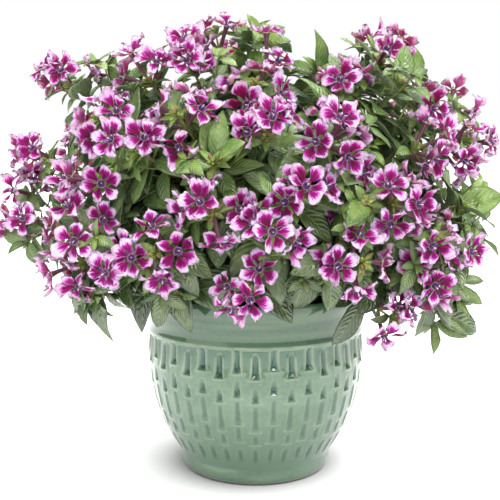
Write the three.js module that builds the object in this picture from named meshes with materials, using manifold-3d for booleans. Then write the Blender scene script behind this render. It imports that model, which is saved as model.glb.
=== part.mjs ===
// A cuphea in flower, standing in a glazed planter with carved sides.
// Millimetres, +Z up. The origin is the centre of the planter's foot, and -Y is its front.
import * as THREE from "three";
import { mergeVertices } from "three/addons/utils/BufferGeometryUtils.js";
import Module from "manifold-3d";

const wasm = await Module();
wasm.setup();

// Planter
const RIM_RADIUS = 101;
const POT_HEIGHT = 161;
const BODY_RADIUS = 96; // the widest part of the carved body
const BAND_FOOT = 118; // the plain band at the rim begins above this height
const WALL = 6.5;
const FLOOR = 9;
const COLUMNS = 40; // columns of gouges, every second one set lower
const GOUGE_DEPTH = 2.6;
const DRAIN_RADIUS = 6;
const DRAIN_RING = 30;

// Soil
const SEAT_GAP = 0.3; // between two pieces that touch
const SOIL_TOP = 150;
const SOIL_SIDES = 20;

// Plant
const CROWN_RADIUS = 9; // the woody base that a clump of shoots shares
const CROWN_BOTTOM = 136;
const CROWN_TOP = 157;
const SHOOT_START = 151;
const CROWN_SPREAD = 4.4; // from the crown's middle to where each shoot leaves it
const STEM_THICK = 1.6; // radius where a shoot leaves the crown
const STEM_THIN = 1.2; // radius at its tip
const HEART_HEIGHT = 215; // shoots point away from this height on the axis
const SPRAY_REACH = 30; // from a shoot's end to the middle of its blooms
const AXIS_RADIUS = 1.2;
const BLOOM_RADIUS = 15;
const CALYX_LENGTH = 24; // from the axis to the throat of a bloom
const CALYX_RADIUS = 2.5;
const COLLAR_BEHIND = 3.5; // from the throat back to the calyx's mouth
const BLOOM_NODE = 7; // where the side blooms stand on the axis
const AXIS_ABOVE = 8; // from there to the foot of the bloom that ends the axis
const NODE_HALF = 1.3; // half the height of the joint that a leaf or bloom grows from
const LEAF_LENGTH = 56;
const LEAF_WIDTH = 0.4; // of the length
const KEEL = 0.7;
const BLADE_STATIONS = [0.4, 0.74]; // shares of a leaf's length
const INNER_STATIONS = [0.46]; // the same for leaves deep in the bush
const PETAL_CORNERS = [[-18, 1, 1.5], [18, 1, 1.5], [30, 0.42, 0]]; // degrees, share of radius, lift

// Space kept from points on other bodies, and from those on the same body
const STEM_SPACE = { others: 5.5, own: 4.4 };
const BLOOM_SPACE = { others: 5.6, own: 3.6 };
const LEAF_SPACE = { others: 5.6, own: 5.6 };
const RIM_SPACE = 5;

// Each clump: its place on the soil, then the heads of its shoots as x, y, z, blooms.
// Heads with no blooms are leafy tips, with the way they point after them.
const CLUMPS = {
  left_low: {
    root: [-55, -25],
    heads: [
      [-200, -40, 220, 3],
      [-150, -120, 220, 4],
      [-150, -100, 190, 3],
      [-190, -35, 280, 3],
      [-130, -95, 172, 0, -0.5, -0.5, -0.7],
    ],
  },
  left_top: {
    root: [-38, 0],
    heads: [
      [-170, -25, 345, 3],
      [-95, -60, 350, 3],
      [-125, -90, 310, 4],
      [-135, -110, 262, 5],
    ],
  },
  front_left_low: {
    root: [-36, -50],
    heads: [
      [-105, -138, 200, 3],
      [-75, -150, 208, 4],
      [-35, -155, 240, 5],
      [-64, -108, 180, 0, -0.1, -0.6, -0.8],
    ],
  },
  front_left: {
    root: [-14, -26],
    heads: [
      [-100, -125, 290, 3],
      [-60, -125, 312, 4],
      [-55, -70, 360, 3],
      [-30, -130, 272, 0, -0.1, -0.9, 0.3],
    ],
  },
  middle: {
    root: [2, 4],
    heads: [
      [-35, -15, 385, 2],
      [10, -60, 365, 1],
      [0, -105, 335, 4],
      [-6, -12, 372, 0, 0, -0.1, 1],
    ],
  },
  front: {
    root: [6, -58],
    heads: [
      [10, -140, 303, 3],
      [35, -155, 252, 3],
      [12, -165, 228, 3],
      [-8, -158, 182, 3],
      [55, -118, 190, 0, 0.1, -0.5, -0.8],
    ],
  },
  front_right: {
    root: [30, -30],
    heads: [
      [60, -140, 297, 5],
      [68, -128, 268, 2],
      [75, -85, 340, 2],
      [115, -130, 245, 5],
      [80, -128, 244, 0, 0.2, -0.9, 0.1],
    ],
  },
  right_top: {
    root: [40, 2],
    heads: [
      [115, -25, 368, 5],
      [150, -40, 325, 4],
      [140, -90, 290, 3],
      [180, -45, 290, 4],
      [112, -62, 330, 0, 0.6, -0.4, 0.7],
    ],
  },
  right_low: {
    root: [54, -34],
    heads: [
      [80, -150, 200, 4],
      [140, -120, 217, 2],
      [150, -105, 182, 4],
      [110, -112, 150, 2],
      [165, -55, 235, 0, 0.9, -0.3, 0.1],
      [150, -60, 205, 0, 0.9, -0.2, -0.2],
    ],
  },
  back_left: {
    root: [-40, 36],
    heads: [
      [-170, 55, 290, 4],
      [-125, 105, 235, 4],
      [-165, 70, 200, 3],
      [-95, 95, 325, 4],
      [-110, 60, 190, 0, -0.6, 0.6, -0.5],
    ],
  },
  back: {
    root: [0, 52],
    heads: [
      [-50, 145, 255, 4],
      [-25, 70, 365, 3],
      [25, 125, 310, 4],
      [20, 150, 205, 4],
      [50, 110, 225, 0, 0.4, 0.8, 0.1],
    ],
  },
  back_right: {
    root: [40, 38],
    heads: [
      [75, 70, 350, 3],
      [165, 50, 250, 4],
      [90, 135, 250, 4],
      [140, 80, 310, 3],
      [110, 85, 195, 3],
      [175, 20, 215, 0, 0.9, 0.1, -0.3],
    ],
  },
};

const DEGREE = Math.PI / 180;
const UP = new THREE.Vector3(0, 0, 1);

const POT_GLAZE = new THREE.MeshStandardMaterial({ color: 0x8cab94, roughness: 0.15, metalness: 0 });
const SOIL_DARK = new THREE.MeshStandardMaterial({ color: 0x2a211a, roughness: 0.95, metalness: 0 });
const LEAF_GREEN = new THREE.MeshStandardMaterial({ color: 0x41663d, roughness: 0.5, metalness: 0 });
const PETAL_PURPLE = new THREE.MeshStandardMaterial({ color: 0xa13388, roughness: 0.6, metalness: 0 });

// Solids

function toSolid(geometry) {
  geometry.deleteAttribute("normal");
  geometry.deleteAttribute("uv");
  const merged = mergeVertices(geometry, 1e-5);
  return new wasm.Manifold(
    new wasm.Mesh({
      numProp: 3,
      vertProperties: merged.attributes.position.array,
      triVerts: new Uint32Array(merged.index.array),
    }),
  );
}

function toMesh(name, solid, material) {
  const result = solid.getMesh();
  const geometry = new THREE.BufferGeometry();
  geometry.setAttribute("position", new THREE.BufferAttribute(new Float32Array(result.vertProperties), 3));
  geometry.setIndex(new THREE.BufferAttribute(new Uint32Array(result.triVerts), 1));
  const mesh = new THREE.Mesh(geometry, material);
  mesh.name = name;
  return mesh;
}

// Collects points and faces, and closes them into a BufferGeometry.
class Skin {
  constructor() {
    this.positions = [];
    this.faces = [];
  }

  point(vector) {
    this.positions.push(vector.x, vector.y, vector.z);
    return this.positions.length / 3 - 1;
  }

  face(a, b, c) {
    this.faces.push(a, b, c);
  }

  // Two rings of the same count, the second further along the way that the faces look left of.
  band(lower, upper) {
    lower.forEach((a, i) => {
      const b = lower[(i + 1) % lower.length];
      const c = upper[(i + 1) % upper.length];
      this.face(a, b, c);
      this.face(a, c, upper[i]);
    });
  }

  // A ring closed to one point.
  fan(ring, tip) {
    ring.forEach((a, i) => this.face(a, ring[(i + 1) % ring.length], tip));
  }

  // Two lines of points that run side by side, joined from one end to the other by their progress.
  seam(left, right, progress) {
    let i = 0;
    let j = 0;
    while (i < left.length - 1 || j < right.length - 1) {
      const stepLeft = j === right.length - 1
        || (i < left.length - 1 && progress(left[i + 1]) <= progress(right[j + 1]));
      if (stepLeft) {
        this.face(left[i], right[j], left[i + 1]);
        i += 1;
      } else {
        this.face(left[i], right[j], right[j + 1]);
        j += 1;
      }
    }
  }

  geometry() {
    const geometry = new THREE.BufferGeometry();
    geometry.setAttribute("position", new THREE.BufferAttribute(new Float32Array(this.positions), 3));
    geometry.setIndex(this.faces);
    return geometry;
  }
}

// Planter: a turned wall, with columns of gouges that deepen downwards and end in a crisp lip.

// Outer wall from the foot to the rim, as height and radius
const OUTER_WALL = [
  [0, 62],
  [3.3, 66.7],
  [20, 71],
  [36, 80],
  [54, 87],
  [76, 93],
  [101, 95.2],
  [120, 94],
  [125.5, 96.4],
  [130, 95.2],
  [147, 97.9],
  [155, RIM_RADIUS],
  [POT_HEIGHT, RIM_RADIUS - 1.2],
];
const INNER_WALL = [
  [POT_HEIGHT, RIM_RADIUS - 4.8],
  [128, 95.2 - WALL],
  [88, 94.6 - WALL],
  [FLOOR, 66 - WALL],
];
const CARVED_FROM = 2; // the outer wall's points between which the gouges lie
const CARVED_TO = 7;
const HIGH_GOUGES = [[123, 100.4], [92.2, 80.4], [77, 55.2], [51.2, 41.6], [37.6, 24.6]];
const LOW_GOUGES = [[124.6, 106.2], [98.8, 86.4], [82.2, 61.6], [58.8, 44.4], [38.6, 26.8]];

function radiusAt(wall, height) {
  for (let i = 1; i < wall.length; i += 1) {
    const [z0, r0] = wall[i - 1];
    const [z1, r1] = wall[i];
    if ((height - z0) * (height - z1) <= 0) {
      return r0 + ((r1 - r0) * (height - z0)) / (z1 - z0);
    }
  }
  return 0;
}

function polar(radius, angle, height) {
  return new THREE.Vector3(radius * Math.cos(angle), radius * Math.sin(angle), height);
}

function potSkin() {
  const skin = new Skin();
  const step = (2 * Math.PI) / COLUMNS;
  const front = -Math.PI / 2;
  const indices = [...Array(COLUMNS).keys()];
  const ring = ([z, r]) => indices.map((i) => skin.point(polar(r, front + (i - 0.5) * step, z)));
  const heightOf = (index) => skin.positions[3 * index + 2];
  const outer = OUTER_WALL.map(ring);
  const inner = INNER_WALL.map(ring);

  for (let i = 1; i < outer.length; i += 1) {
    if (i <= CARVED_FROM || i > CARVED_TO) {
      skin.band(outer[i - 1], outer[i]);
    }
  }
  indices.forEach((i) => {
    const next = (i + 1) % COLUMNS;
    const carved = outer.slice(CARVED_FROM, CARVED_TO + 1);
    const left = carved.map((points) => points[i]);
    const right = carved.map((points) => points[next]);
    const middle = gougeLine(i % 2 === 0 ? HIGH_GOUGES : LOW_GOUGES)
      .map(([z, r]) => skin.point(polar(r, front + i * step, z)));
    skin.face(left[0], right[0], middle[0]);
    skin.seam(left, middle, heightOf);
    skin.seam(middle, right, heightOf);
    skin.face(left.at(-1), middle.at(-1), right.at(-1));
  });
  skin.band(outer.at(-1), inner[0]);
  for (let i = 1; i < inner.length; i += 1) {
    skin.band(inner[i - 1], inner[i]);
  }
  skin.fan(inner.at(-1), skin.point(new THREE.Vector3(0, 0, FLOOR)));
  skin.fan(outer[0].toReversed(), skin.point(new THREE.Vector3()));
  return skin;
}

// The middle of a column, from its lowest gouge up: a raised lip, then the deep end, for each gouge.
function gougeLine(gouges) {
  const lipBelow = 1.2;
  const lipRise = 0.4;
  const line = gouges.toReversed().flatMap(([, bottom]) => [
    [bottom - lipBelow, radiusAt(OUTER_WALL, bottom - lipBelow) + lipRise],
    [bottom + lipBelow, radiusAt(OUTER_WALL, bottom + lipBelow) - GOUGE_DEPTH],
  ]);
  const top = OUTER_WALL[CARVED_TO][0] - lipBelow;
  return [...line, [top, radiusAt(OUTER_WALL, top)]];
}

function prism(sides, radius, bottom, top, x, y) {
  const geometry = new THREE.CylinderGeometry(radius, radius, top - bottom, sides);
  geometry.rotateX(Math.PI / 2);
  geometry.translate(x, y, (top + bottom) / 2);
  return toSolid(geometry);
}

function pot() {
  const drains = [0, 1, 2].map((i) => {
    const place = polar(DRAIN_RING, (2 * Math.PI * i) / 3, 0);
    return prism(8, DRAIN_RADIUS, -1, FLOOR + 1, place.x, place.y);
  });
  const solid = toSolid(potSkin().geometry()).subtract(wasm.Manifold.union(drains));
  return toMesh("planter", solid, POT_GLAZE);
}

// Soil: fills the planter up to just under its rim, with a plain hole for each crown.

function soil() {
  const gap = SEAT_GAP + 0.1;
  const skin = new Skin();
  const step = (2 * Math.PI) / SOIL_SIDES;
  const offset = -Math.PI / 2 - Math.PI / COLUMNS;
  const ring = (radius, height) => [...Array(SOIL_SIDES).keys()]
    .map((i) => skin.point(polar(radius, offset + i * step, height)));
  const wall = INNER_WALL.slice(1).toReversed();
  const rings = wall.map(([z, r]) => ring(r - gap, Math.max(z, FLOOR + gap)));
  rings.push(ring(radiusAt(INNER_WALL, SOIL_TOP) - gap, SOIL_TOP));
  for (let i = 1; i < rings.length; i += 1) {
    skin.band(rings[i - 1], rings[i]);
  }
  skin.fan(rings[0].toReversed(), skin.point(new THREE.Vector3(0, 0, FLOOR + gap)));
  skin.fan(rings.at(-1), skin.point(new THREE.Vector3(0, 0, SOIL_TOP)));
  const holes = Object.values(CLUMPS).map(({ root: [x, y] }) =>
    prism(4, CROWN_RADIUS + 1.5 * SEAT_GAP, CROWN_BOTTOM - SEAT_GAP, SOIL_TOP + 5, x, y));
  const solid = toSolid(skin.geometry()).subtract(wasm.Manifold.union(holes));
  return toMesh("potting_soil", solid, SOIL_DARK);
}

// Growth: where every shoot, bloom and leaf stands, each one clear of those before it.

// A repeatable row of numbers from 0 to 1, one row for each shoot
function numbersFrom(seed) {
  let state = (seed * 48271 + 11) % 2147483647;
  return () => {
    state = (state * 16807) % 2147483647;
    return state / 2147483647;
  };
}

// Points already taken, with the body that each belongs to
const taken = { stem: [], bloom: [], leaf: [] };

function apart(points, others, clearance) {
  return points.every((p) => others.every((q) => p.distanceToSquared(q) >= clearance * clearance));
}

function isClear(points, body, kinds, clearance) {
  return points.every((p) => clearOfPot(p) && kinds.every((kind) => taken[kind].every((other) => {
    const needed = other.body === body ? clearance.own : clearance.others;
    return p.distanceToSquared(other.point) >= needed * needed;
  })));
}

function take(points, body, kind) {
  points.forEach((point) => taken[kind].push({ point, body }));
}

function clearOfPot(p) {
  const radius = Math.hypot(p.x, p.y);
  const overRim = p.z > POT_HEIGHT + RIM_SPACE;
  const inside = radius < RIM_RADIUS - 2 * WALL && p.z > SOIL_TOP + 3;
  const outside = radius > (p.z > BAND_FOOT ? RIM_RADIUS : BODY_RADIUS) + RIM_SPACE;
  return overRim || inside || outside;
}

function across(direction, hint) {
  return hint.clone().addScaledVector(direction, -hint.dot(direction)).normalize();
}

// A path from the soil to a head: it rises, then bends the way the head points
const PATH_STEPS = 48;
const PATH_IN_CROWN = 5; // its first points, still inside the crown
const RISE_SHARE = 0.42; // of the reach
const BEND_SHARE = 0.38;
const TRIES = 120;
const SPREAD_STEP = 5; // how fast later tries stray

function shootPath(start, end, direction, bulge) {
  const reach = start.distanceTo(end);
  const rise = start.clone().add(new THREE.Vector3(bulge.x, bulge.y, RISE_SHARE * reach + bulge.z));
  const bend = end.clone().addScaledVector(direction, -BEND_SHARE * reach);
  return new THREE.CubicBezierCurve3(start, rise, bend, end).getPoints(PATH_STEPS);
}

function pathLengths(path) {
  const lengths = [0];
  for (let i = 1; i < path.length; i += 1) {
    lengths.push(lengths[i - 1] + path[i].distanceTo(path[i - 1]));
  }
  return lengths;
}

// The frame at a length along the shoot: its point, the way it runs, and two directions across it
function frameAlong({ path, lengths, hinge }, length) {
  let i = 1;
  while (i < path.length - 1 && lengths[i] < length) {
    i += 1;
  }
  const share = (length - lengths[i - 1]) / (lengths[i] - lengths[i - 1]);
  const direction = path[i].clone().sub(path[i - 1]).normalize();
  const first = across(direction, hinge);
  return {
    point: path[i - 1].clone().lerp(path[i], share),
    direction,
    first,
    second: direction.clone().cross(first),
  };
}

// The way that leaves a frame at a tilt from its direction, turned round it
function leaving({ direction, first, second }, tilt, turn) {
  return direction.clone().multiplyScalar(Math.cos(tilt))
    .addScaledVector(first, Math.sin(tilt) * Math.cos(turn))
    .addScaledVector(second, Math.sin(tilt) * Math.sin(turn));
}

function growShoots() {
  const shoots = [];
  Object.entries(CLUMPS).forEach(([clump, { root, heads }]) => {
    const azimuth = ([x, y]) => Math.atan2(y - root[1], x - root[0]);
    const order = heads.toSorted((a, b) => azimuth(a) - azimuth(b));
    heads.forEach((place) => {
      const [x, y, z, blooms, ...way] = place;
      const number = shoots.length + 1;
      const slot = (order.indexOf(place) - (order.length - 1) / 2) / order.length;
      const middle = azimuth(order[Math.floor(order.length / 2)]);
      const start = polar(CROWN_SPREAD, middle + 2 * Math.PI * slot, SHOOT_START);
      start.add(new THREE.Vector3(root[0], root[1], 0));
      const draw = numbersFrom(number);
      const head = new THREE.Vector3(x, y, z);
      const direction = way.length > 0
        ? new THREE.Vector3(...way).normalize()
        : new THREE.Vector3(x, y, z - HEART_HEIGHT).normalize();
      const end = blooms > 0 ? head.clone().addScaledVector(direction, -SPRAY_REACH) : head;
      let path = null;
      for (let attempt = 0; attempt < TRIES; attempt += 1) {
        const spread = SPREAD_STEP * Math.sqrt(attempt);
        const bulge = new THREE.Vector3(draw() - 0.5, draw() - 0.5, draw()).multiplyScalar(spread);
        const candidate = shootPath(start, end, direction, bulge);
        path ??= candidate;
        if (isClear(candidate.slice(PATH_IN_CROWN), clump, ["stem"], STEM_SPACE)) {
          path = candidate;
          break;
        }
      }
      take(path, clump, "stem");
      const hinge = UP.clone().cross(end.clone().sub(path[0])).normalize();
      shoots.push({ number, clump, end, direction, blooms, path, lengths: pathLengths(path), hinge, draw });
    });
  });
  return shoots;
}

// Blooms: one going on from the axis of the spray, the others round it, like the studs of a dome

function bloomFrame(facing, upper) {
  const up = across(facing, upper);
  return { direction: facing, first: up.clone().cross(facing), second: up };
}

function bloomPoints({ foot, throat, frame }) {
  const points = [foot.clone().lerp(throat, 0.35), foot.clone().lerp(throat, 0.7), throat.clone()];
  for (let i = 0; i < 12; i += 1) {
    const out = leaving(frame, Math.PI / 2, (i * Math.PI) / 6);
    points.push(throat.clone().addScaledVector(out, BLOOM_RADIUS * (i % 2 === 0 ? 1 : 0.55)));
  }
  return points;
}

// Which sides of the axis bloom and at what tilt, for each number of blooms; side -1 ends the axis
const BLOOM_SIDES = [[], [-1], [0, 2], [-1, 0, 2], [0, 1, 2, 3], [-1, 0, 1, 2, 3]];
const BLOOM_TILTS = [0, 0, 34, 44, 50, 54];

function growBlooms(shoot) {
  const spray = `spray_${shoot.number}`;
  const { end, direction, blooms: count, draw } = shoot;
  if (count === 0) {
    return { ...shoot, spray, blooms: [] };
  }
  const frame = frameAlong(shoot, shoot.lengths.at(-1));
  const node = end.clone().addScaledVector(direction, SEAT_GAP + BLOOM_NODE);
  take([end.clone().lerp(node, 0.5), node], spray, "stem");
  let best = { blooms: [], spin: 0 };
  for (let attempt = 0; attempt < TRIES && best.blooms.length < count; attempt += 1) {
    const loose = attempt / TRIES;
    const spin = 2 * Math.PI * draw();
    const blooms = [];
    const own = [];
    BLOOM_SIDES[count].forEach((side) => {
      const central = side < 0;
      const tilt = (central ? 8 : BLOOM_TILTS[count]) + (12 + 40 * loose) * (draw() - 0.5);
      const turn = spin + (side * Math.PI) / 2 + (0.2 + loose) * (draw() - 0.5);
      const facing = leaving(frame, Math.abs(tilt) * DEGREE, turn);
      const foot = central
        ? node.clone().addScaledVector(direction, AXIS_ABOVE)
        : node.clone().addScaledVector(facing, NODE_HALF);
      const throat = foot.clone().addScaledVector(facing, CALYX_LENGTH);
      const upper = central ? UP.clone().addScaledVector(frame.first, 0.1) : direction;
      const bloom = { side, foot, throat, frame: bloomFrame(facing, upper) };
      const points = bloomPoints(bloom).slice(1);
      const free = isClear(points, spray, ["bloom"], { ...BLOOM_SPACE, own: 0 })
        && isClear(points, spray, ["stem"], { ...STEM_SPACE, own: 0 })
        && apart(points, own, BLOOM_SPACE.own);
      if (free) {
        blooms.push(bloom);
        own.push(...points);
      }
    });
    if (blooms.length > best.blooms.length) {
      best = { blooms, spin };
    }
  }
  best.blooms.forEach((bloom) => take(bloomPoints(bloom), spray, "bloom"));
  return { ...shoot, spray, node, frame, ...best };
}

// Leaves: opposite pairs, each pair turned a quarter from the next, arching back

const LEAF_SAMPLES = [0.2, 0.34, 0.48, 0.62, 0.76, 0.9, 1];

// The blade's frame at a share of its length: the midrib turns down along an arc
function leafFrame({ root, direction, normal, length, arch }, share) {
  const angle = arch * share;
  const radius = length / arch;
  return {
    point: root.clone()
      .addScaledVector(direction, radius * Math.sin(angle))
      .addScaledVector(normal, -radius * (1 - Math.cos(angle))),
    normal: normal.clone().multiplyScalar(Math.cos(angle)).addScaledVector(direction, Math.sin(angle)),
    side: direction.clone().cross(normal),
  };
}

// Half the blade's width: a narrow stalk, widest at two fifths, drawn out to a point
function leafHalfWidth(leaf, share) {
  const stalk = 0.1;
  const blade = Math.max(share - stalk, 0) / (1 - stalk);
  const belly = blade ** 0.6 * (1 - blade) ** 0.95 / 0.3555;
  return 0.5 * LEAF_WIDTH * leaf.length * belly;
}

function leafPoints(leaf) {
  return LEAF_SAMPLES.flatMap((share) => {
    const { point, side } = leafFrame(leaf, share);
    const half = leafHalfWidth(leaf, share);
    return half > 4
      ? [-1, -0.5, 0, 0.5, 1].map((offset) => point.clone().addScaledVector(side, offset * half))
      : [point];
  });
}

// How far each pair stands below the shoot's end, how large it is, and its tilt in degrees
const PAIRS_UNDER_BLOOMS = [[9, 0.8, 66], [34, 1.05, 60], [66, 1.1, 62]];
const PAIRS_AT_TIP = [[NODE_HALF, 0.72, 24], [12, 0.9, 46], [36, 1.05, 60], [66, 1.1, 66]];
const LEAFY_SHARE = 0.55; // of a shoot's length
const INNER_FROM = 50; // leaves further than this from the shoot's end are deep in the bush
const LEAF_TRIES = 60;

function growLeaves(shoot) {
  const { clump, lengths, blooms, draw } = shoot;
  const total = lengths.at(-1);
  const quarter = 2 * Math.PI * draw();
  const pairs = (blooms.length > 0 ? PAIRS_UNDER_BLOOMS : PAIRS_AT_TIP)
    .filter(([place]) => place < LEAFY_SHARE * total);
  const nodes = pairs.map(([place, size, opening], pair) => {
    const frame = frameAlong(shoot, total - place);
    const leaves = [null, null, null, null];
    [pair % 2, pair % 2 + 2].forEach((side) => {
      for (let attempt = 0; attempt < LEAF_TRIES && leaves[side] === null; attempt += 1) {
        const loose = attempt / LEAF_TRIES;
        const turn = quarter + (side * Math.PI) / 2 + 1.5 * loose * (draw() - 0.5);
        const tilt = opening + 50 * loose * (draw() - 0.5);
        const direction = leaving(frame, tilt * DEGREE, turn);
        const outward = new THREE.Vector3(frame.point.x, frame.point.y, 0).normalize();
        const facing = frame.direction.clone().multiplyScalar(0.6).addScaledVector(UP, 0.5)
          .addScaledVector(outward, 0.3);
        const leaf = {
          root: frame.point,
          direction,
          normal: across(direction, facing),
          length: LEAF_LENGTH * size * (1.08 - 0.3 * loose - 0.12 * draw()),
          arch: (35 + 45 * draw()) * DEGREE,
          stations: place > INNER_FROM ? INNER_STATIONS : BLADE_STATIONS,
        };
        const points = leafPoints(leaf);
        const free = isClear(points, clump, ["leaf", "bloom"], LEAF_SPACE)
          && isClear(points, clump, ["stem"], STEM_SPACE);
        if (free) {
          take(points, clump, "leaf");
          leaves[side] = leaf;
        }
      }
    });
    return { place: total - place, leaves };
  });
  const grown = nodes.filter(({ leaves }) => leaves.some((leaf) => leaf !== null));
  return { ...shoot, quarter, nodes: grown.toReversed() };
}

// Bodies of the plant

// Four corners round a frame, the first side between them facing the turn
function squareRing(skin, { point, first, second }, radius, turn) {
  return [0, 1, 2, 3].map((k) => {
    const angle = turn + (k - 0.5) * (Math.PI / 2);
    return skin.point(point.clone()
      .addScaledVector(first, Math.SQRT2 * radius * Math.cos(angle))
      .addScaledVector(second, Math.SQRT2 * radius * Math.sin(angle)));
  });
}

function closeEnd(skin, ring) {
  for (let i = 1; i < ring.length - 1; i += 1) {
    skin.face(ring[0], ring[i], ring[i + 1]);
  }
}

// The corners of one side between two square rings, upper left first and on round
function sideCorners(lower, upper, side) {
  const next = (side + 1) % 4;
  return [upper[side], lower[side], lower[next], upper[next]];
}

// A stem with its leaves grown out of its own sides: no leaf is stuck on
function shootSolid(shoot) {
  const skin = new Skin();
  const total = shoot.lengths.at(-1);
  const ringAt = (length) => {
    const radius = STEM_THICK + (STEM_THIN - STEM_THICK) * (length / total);
    return squareRing(skin, frameAlong(shoot, length), radius, shoot.quarter);
  };
  const lowest = shoot.nodes[0]?.place ?? total;
  const start = ringAt(0);
  let last = ringAt(lowest / 2);
  closeEnd(skin, start.toReversed());
  skin.band(start, last);
  shoot.nodes.forEach(({ place, leaves }) => {
    const lower = ringAt(place - NODE_HALF);
    const upper = ringAt(place + NODE_HALF);
    skin.band(last, lower);
    leaves.forEach((leaf, side) => {
      const corners = sideCorners(lower, upper, side);
      if (leaf === null) {
        closeEnd(skin, corners);
      } else {
        leafOnto(skin, corners, leaf);
      }
    });
    last = upper;
  });
  if (shoot.blooms.length > 0) {
    const tip = ringAt(total);
    skin.band(last, tip);
    last = tip;
  }
  closeEnd(skin, last);
  return toSolid(skin.geometry());
}

// A blade with a flat top and a keel below, grown from four corners and drawn out to a point
function leafOnto(skin, [upperLeft, lowerLeft, lowerRight, upperRight], leaf) {
  const fold = 0.16;
  const rings = leaf.stations.map((share) => {
    const { point, normal, side } = leafFrame(leaf, share);
    const half = Math.max(leafHalfWidth(leaf, share), 1);
    const edge = (sign) => point.clone()
      .addScaledVector(side, sign * half)
      .addScaledVector(normal, fold * half);
    const keel = point.clone().addScaledVector(normal, -KEEL);
    return [edge(1), keel, edge(-1)].map((corner) => skin.point(corner));
  });
  const [right, keel, left] = rings[0];
  skin.face(upperLeft, lowerLeft, keel);
  skin.face(upperLeft, keel, right);
  skin.face(lowerLeft, lowerRight, keel);
  skin.face(lowerRight, upperRight, left);
  skin.face(lowerRight, left, keel);
  skin.face(upperRight, upperLeft, right);
  skin.face(upperRight, right, left);
  for (let i = 1; i < rings.length; i += 1) {
    skin.band(rings[i - 1], rings[i]);
  }
  skin.fan(rings.at(-1), skin.point(leafFrame(leaf, 1).point));
}

// A calyx grown from four corners to a three-sided collar, opening into six petals
function bloomOnto(skin, [upperLeft, lowerLeft, lowerRight, upperRight], { throat, frame }) {
  const outline = [...Array(6).keys()].flatMap((petal) => PETAL_CORNERS.map(([angle, radius, lift]) => {
    const out = leaving(frame, Math.PI / 2, (60 * petal + angle) * DEGREE);
    return skin.point(throat.clone()
      .addScaledVector(out, BLOOM_RADIUS * radius)
      .addScaledVector(frame.direction, lift));
  }));
  const collar = [90, 210, 330].map((angle) => {
    const out = leaving(frame, Math.PI / 2, angle * DEGREE);
    return skin.point(throat.clone()
      .addScaledVector(out, CALYX_RADIUS)
      .addScaledVector(frame.direction, -COLLAR_BEHIND));
  });
  const [top, left, right] = collar;
  skin.face(upperLeft, lowerLeft, left);
  skin.face(upperLeft, left, top);
  skin.face(lowerLeft, lowerRight, right);
  skin.face(lowerLeft, right, left);
  skin.face(lowerRight, upperRight, top);
  skin.face(lowerRight, top, right);
  skin.face(upperRight, upperLeft, top);
  collar.forEach((corner, k) => {
    const from = 2 + 6 * k;
    for (let i = from; i < from + 6; i += 1) {
      skin.face(corner, outline[(i + 1) % 18], outline[i % 18]);
    }
    skin.face(corner, collar[(k + 1) % 3], outline[(from + 6) % 18]);
  });
  const notches = [2, 5, 8, 11, 14, 17].map((i) => outline[i]);
  for (let petal = 0; petal < 6; petal += 1) {
    const before = notches[(petal + 5) % 6];
    skin.face(before, outline[3 * petal], outline[3 * petal + 1]);
    skin.face(before, outline[3 * petal + 1], notches[petal]);
  }
  closeEnd(skin, notches);
}

function spraySolid({ end, direction, node, frame, spin, blooms }) {
  const skin = new Skin();
  const ringAt = (point) => squareRing(skin, { ...frame, point }, AXIS_RADIUS, spin);
  const start = ringAt(end.clone().addScaledVector(direction, SEAT_GAP));
  const lower = ringAt(node.clone().addScaledVector(direction, -NODE_HALF));
  const upper = ringAt(node.clone().addScaledVector(direction, NODE_HALF));
  const at = (side) => blooms.find((bloom) => bloom.side === side);
  closeEnd(skin, start.toReversed());
  skin.band(start, lower);
  for (let side = 0; side < 4; side += 1) {
    const corners = sideCorners(lower, upper, side);
    if (at(side)) {
      bloomOnto(skin, corners, at(side));
    } else {
      closeEnd(skin, corners);
    }
  }
  if (at(-1)) {
    const top = ringAt(at(-1).foot);
    skin.band(upper, top);
    bloomOnto(skin, top, at(-1));
  } else {
    closeEnd(skin, upper);
  }
  return toSolid(skin.geometry());
}

function clumpSolid(clump, shoots) {
  const [x, y] = CLUMPS[clump].root;
  const crown = prism(4, CROWN_RADIUS, CROWN_BOTTOM, CROWN_TOP, x, y);
  return wasm.Manifold.union([crown, ...shoots.map(shootSolid)]);
}

const shoots = growShoots().map(growBlooms).map(growLeaves);

const plant = new THREE.Group();
plant.add(pot());
plant.add(soil());
Object.keys(CLUMPS).forEach((clump) => {
  const own = shoots.filter((shoot) => shoot.clump === clump);
  plant.add(toMesh(`leafy_stem_${clump}`, clumpSolid(clump, own), LEAF_GREEN));
});
shoots.filter((shoot) => shoot.blooms.length > 0).forEach((shoot) => {
  plant.add(toMesh(shoot.spray, spraySolid(shoot), PETAL_PURPLE));
});

export default plant;
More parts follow.
